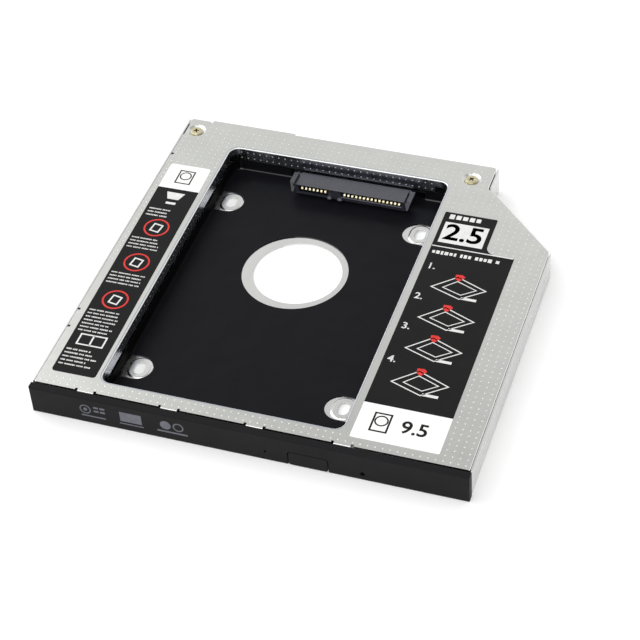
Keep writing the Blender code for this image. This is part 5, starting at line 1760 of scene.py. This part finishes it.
@dataclass
class Studio:
    """The pale floor, the soft light and the camera of the photograph."""

    lens: float = 109.04
    eye: tuple[float, float, float] = (0.154209, -0.393170, 0.392400)
    right: tuple[float, float, float] = (0.9476485, 0.3145020, -0.0552347)
    down: tuple[float, float, float] = (0.1787948, -0.6659389, -0.7242636)
    ahead: tuple[float, float, float] = (-0.2645653, 0.6764716, -0.6873073)
    dusk: Point = (0.66, 0.78)
    glow: Point = (-0.44, -0.32)
    glow_height: Point = (0.62, 0.70)
    wall: Point = (-0.30, -0.15)
    front: Point = (-0.70, -0.45)
    room_level: Point = (0.86, 0.42)
    glow_level: float = 1.25
    wall_level: float = 0.12
    front_level: float = 0.45
    floor_lift: float = 0.14

    def camera(self) -> None:
        """Sets the camera where the photograph was taken."""
        data = bpy.data.cameras.new("photo_camera")
        data.lens = self.lens
        data.sensor_width = 36.0
        data.clip_start = 0.01
        data.clip_end = 20.0
        item = bpy.data.objects.new("photo_camera", data)
        bpy.context.scene.collection.objects.link(item)
        turn = Matrix((Vector(self.right), -Vector(self.down), -Vector(self.ahead))).transposed()
        item.matrix_world = Matrix.Translation(Vector(self.eye)) @ turn.to_4x4()
        bpy.context.scene.camera = item

    def lamp(self, name: str, at: tuple[float, float, float], size: float, power: float) -> None:
        """Hangs a square soft box that faces the caddy.

        Args:
            name: The lamp's name.
            at: Its place in metres.
            size: Side of the box in metres.
            power: Power in watts.
        """
        data = bpy.data.lights.new(name, "AREA")
        data.shape = "SQUARE"
        data.size = size
        data.energy = power
        item = bpy.data.objects.new(name, data)
        bpy.context.scene.collection.objects.link(item)
        item.matrix_world = (Matrix.Translation(Vector(at))
                             @ (-Vector(at)).to_track_quat("-Z", "Y").to_matrix().to_4x4())

    def backdrop(self) -> None:
        """Lays the floor: white to the camera and in reflections, with the caddy's soft shadow kept."""
        rest()
        bpy.ops.mesh.primitive_plane_add(size=6.0)
        floor = settle("floor")
        material = bpy.data.materials.new("white_paper_floor")
        material.use_nodes = True
        tree = material.node_tree
        shader = tree.nodes["Principled BSDF"]
        shader.inputs["Base Color"].default_value = linear("F4F4F4")
        shader.inputs["Roughness"].default_value = 0.9
        shader.inputs["Specular IOR Level"].default_value = 0.0
        rays = add_node(tree, "ShaderNodeLightPath")
        seen = add_node(tree, "ShaderNodeMath", {"operation": "MAXIMUM"},
                        {0: rays.outputs["Is Camera Ray"], 1: rays.outputs["Is Glossy Ray"]})
        seen = add_node(tree, "ShaderNodeMath", {"operation": "MAXIMUM"},
                        {0: seen.outputs[0], 1: rays.outputs["Is Transmission Ray"]})
        lift = add_node(tree, "ShaderNodeMath", {"operation": "MULTIPLY"}, {0: seen.outputs[0], 1: self.floor_lift})
        tree.links.new(lift.outputs[0], shader.inputs["Emission Strength"])
        shader.inputs["Emission Color"].default_value = (1.0, 1.0, 1.0, 1.0)
        floor.data.materials.append(material)

    def world(self) -> None:
        """Lights the studio evenly, and shows white behind the floor."""
        world = bpy.data.worlds.new("studio")
        bpy.context.scene.world = world
        world.use_nodes = True
        tree = world.node_tree
        background = tree.nodes["Background"]
        background.inputs["Color"].default_value = (1.0, 1.0, 1.0, 1.0)
        rays = add_node(tree, "ShaderNodeLightPath")
        seen = add_node(tree, "ShaderNodeMath", {"operation": "MAXIMUM"},
                        {0: rays.outputs["Is Camera Ray"], 1: rays.outputs["Is Transmission Ray"]})
        way = add_node(tree, "ShaderNodeSeparateXYZ",
                       inputs={0: add_node(tree, "ShaderNodeTexCoord").outputs["Generated"]})
        # The room's light by direction: dimmer overhead, a glow at the left and in front in one band of height, and
        # a faint wall at the right
        bands = (("Z", self.dusk, self.room_level), ("X", self.glow, (self.glow_level, 0.0)),
                 ("Z", self.glow_height, (0.0, 1.0)), ("X", self.wall, (0.0, self.wall_level)),
                 ("Y", self.front, (self.front_level, 0.0)))
        height, side, band, wall, front = [
            add_node(tree, "ShaderNodeMapRange", {"interpolation_type": "SMOOTHSTEP"},
                     {"Value": way.outputs[axis], "From Min": ends[0], "From Max": ends[1],
                      "To Min": levels[0], "To Max": levels[1]}) for axis, ends, levels in bands]
        both = add_node(tree, "ShaderNodeMath", {"operation": "ADD"}, {0: side.outputs[0], 1: front.outputs[0]})
        room = add_node(tree, "ShaderNodeMath", {"operation": "MULTIPLY_ADD"},
                        {0: both.outputs[0], 1: band.outputs[0], 2: height.outputs[0]})
        room = add_node(tree, "ShaderNodeMath", {"operation": "ADD"}, {0: room.outputs[0], 1: wall.outputs[0]})
        level = add_node(tree, "ShaderNodeMix", {"data_type": "FLOAT"},
                         {0: seen.outputs[0], 2: room.outputs[0], 3: 1.0})
        tree.links.new(level.outputs[0], background.inputs["Strength"])

    def build(self) -> None:
        """Sets up the view."""
        bpy.context.scene.view_settings.view_transform = "Standard"
        self.camera()
        self.backdrop()
        self.world()
        self.lamp("side_softbox", (-1.30, 0.20, 0.80), 1.2, 5.5)
        self.lamp("front_softbox", (0.02, -0.60, 1.08), 0.8, 4.0)


def main() -> None:
    """Builds every sub-assembly in order."""
    logging.basicConfig(level=logging.INFO, format="%(name)s %(message)s")
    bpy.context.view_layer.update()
    Cover().build()
    Tray().build()
    Film().build()
    Bezel().build()
    DriveConnector().build()
    Screws().build()
    Labels().build()
    KeptNodes().build()
    Studio().build()
    rest()


if __name__ == "__main__":
    main()
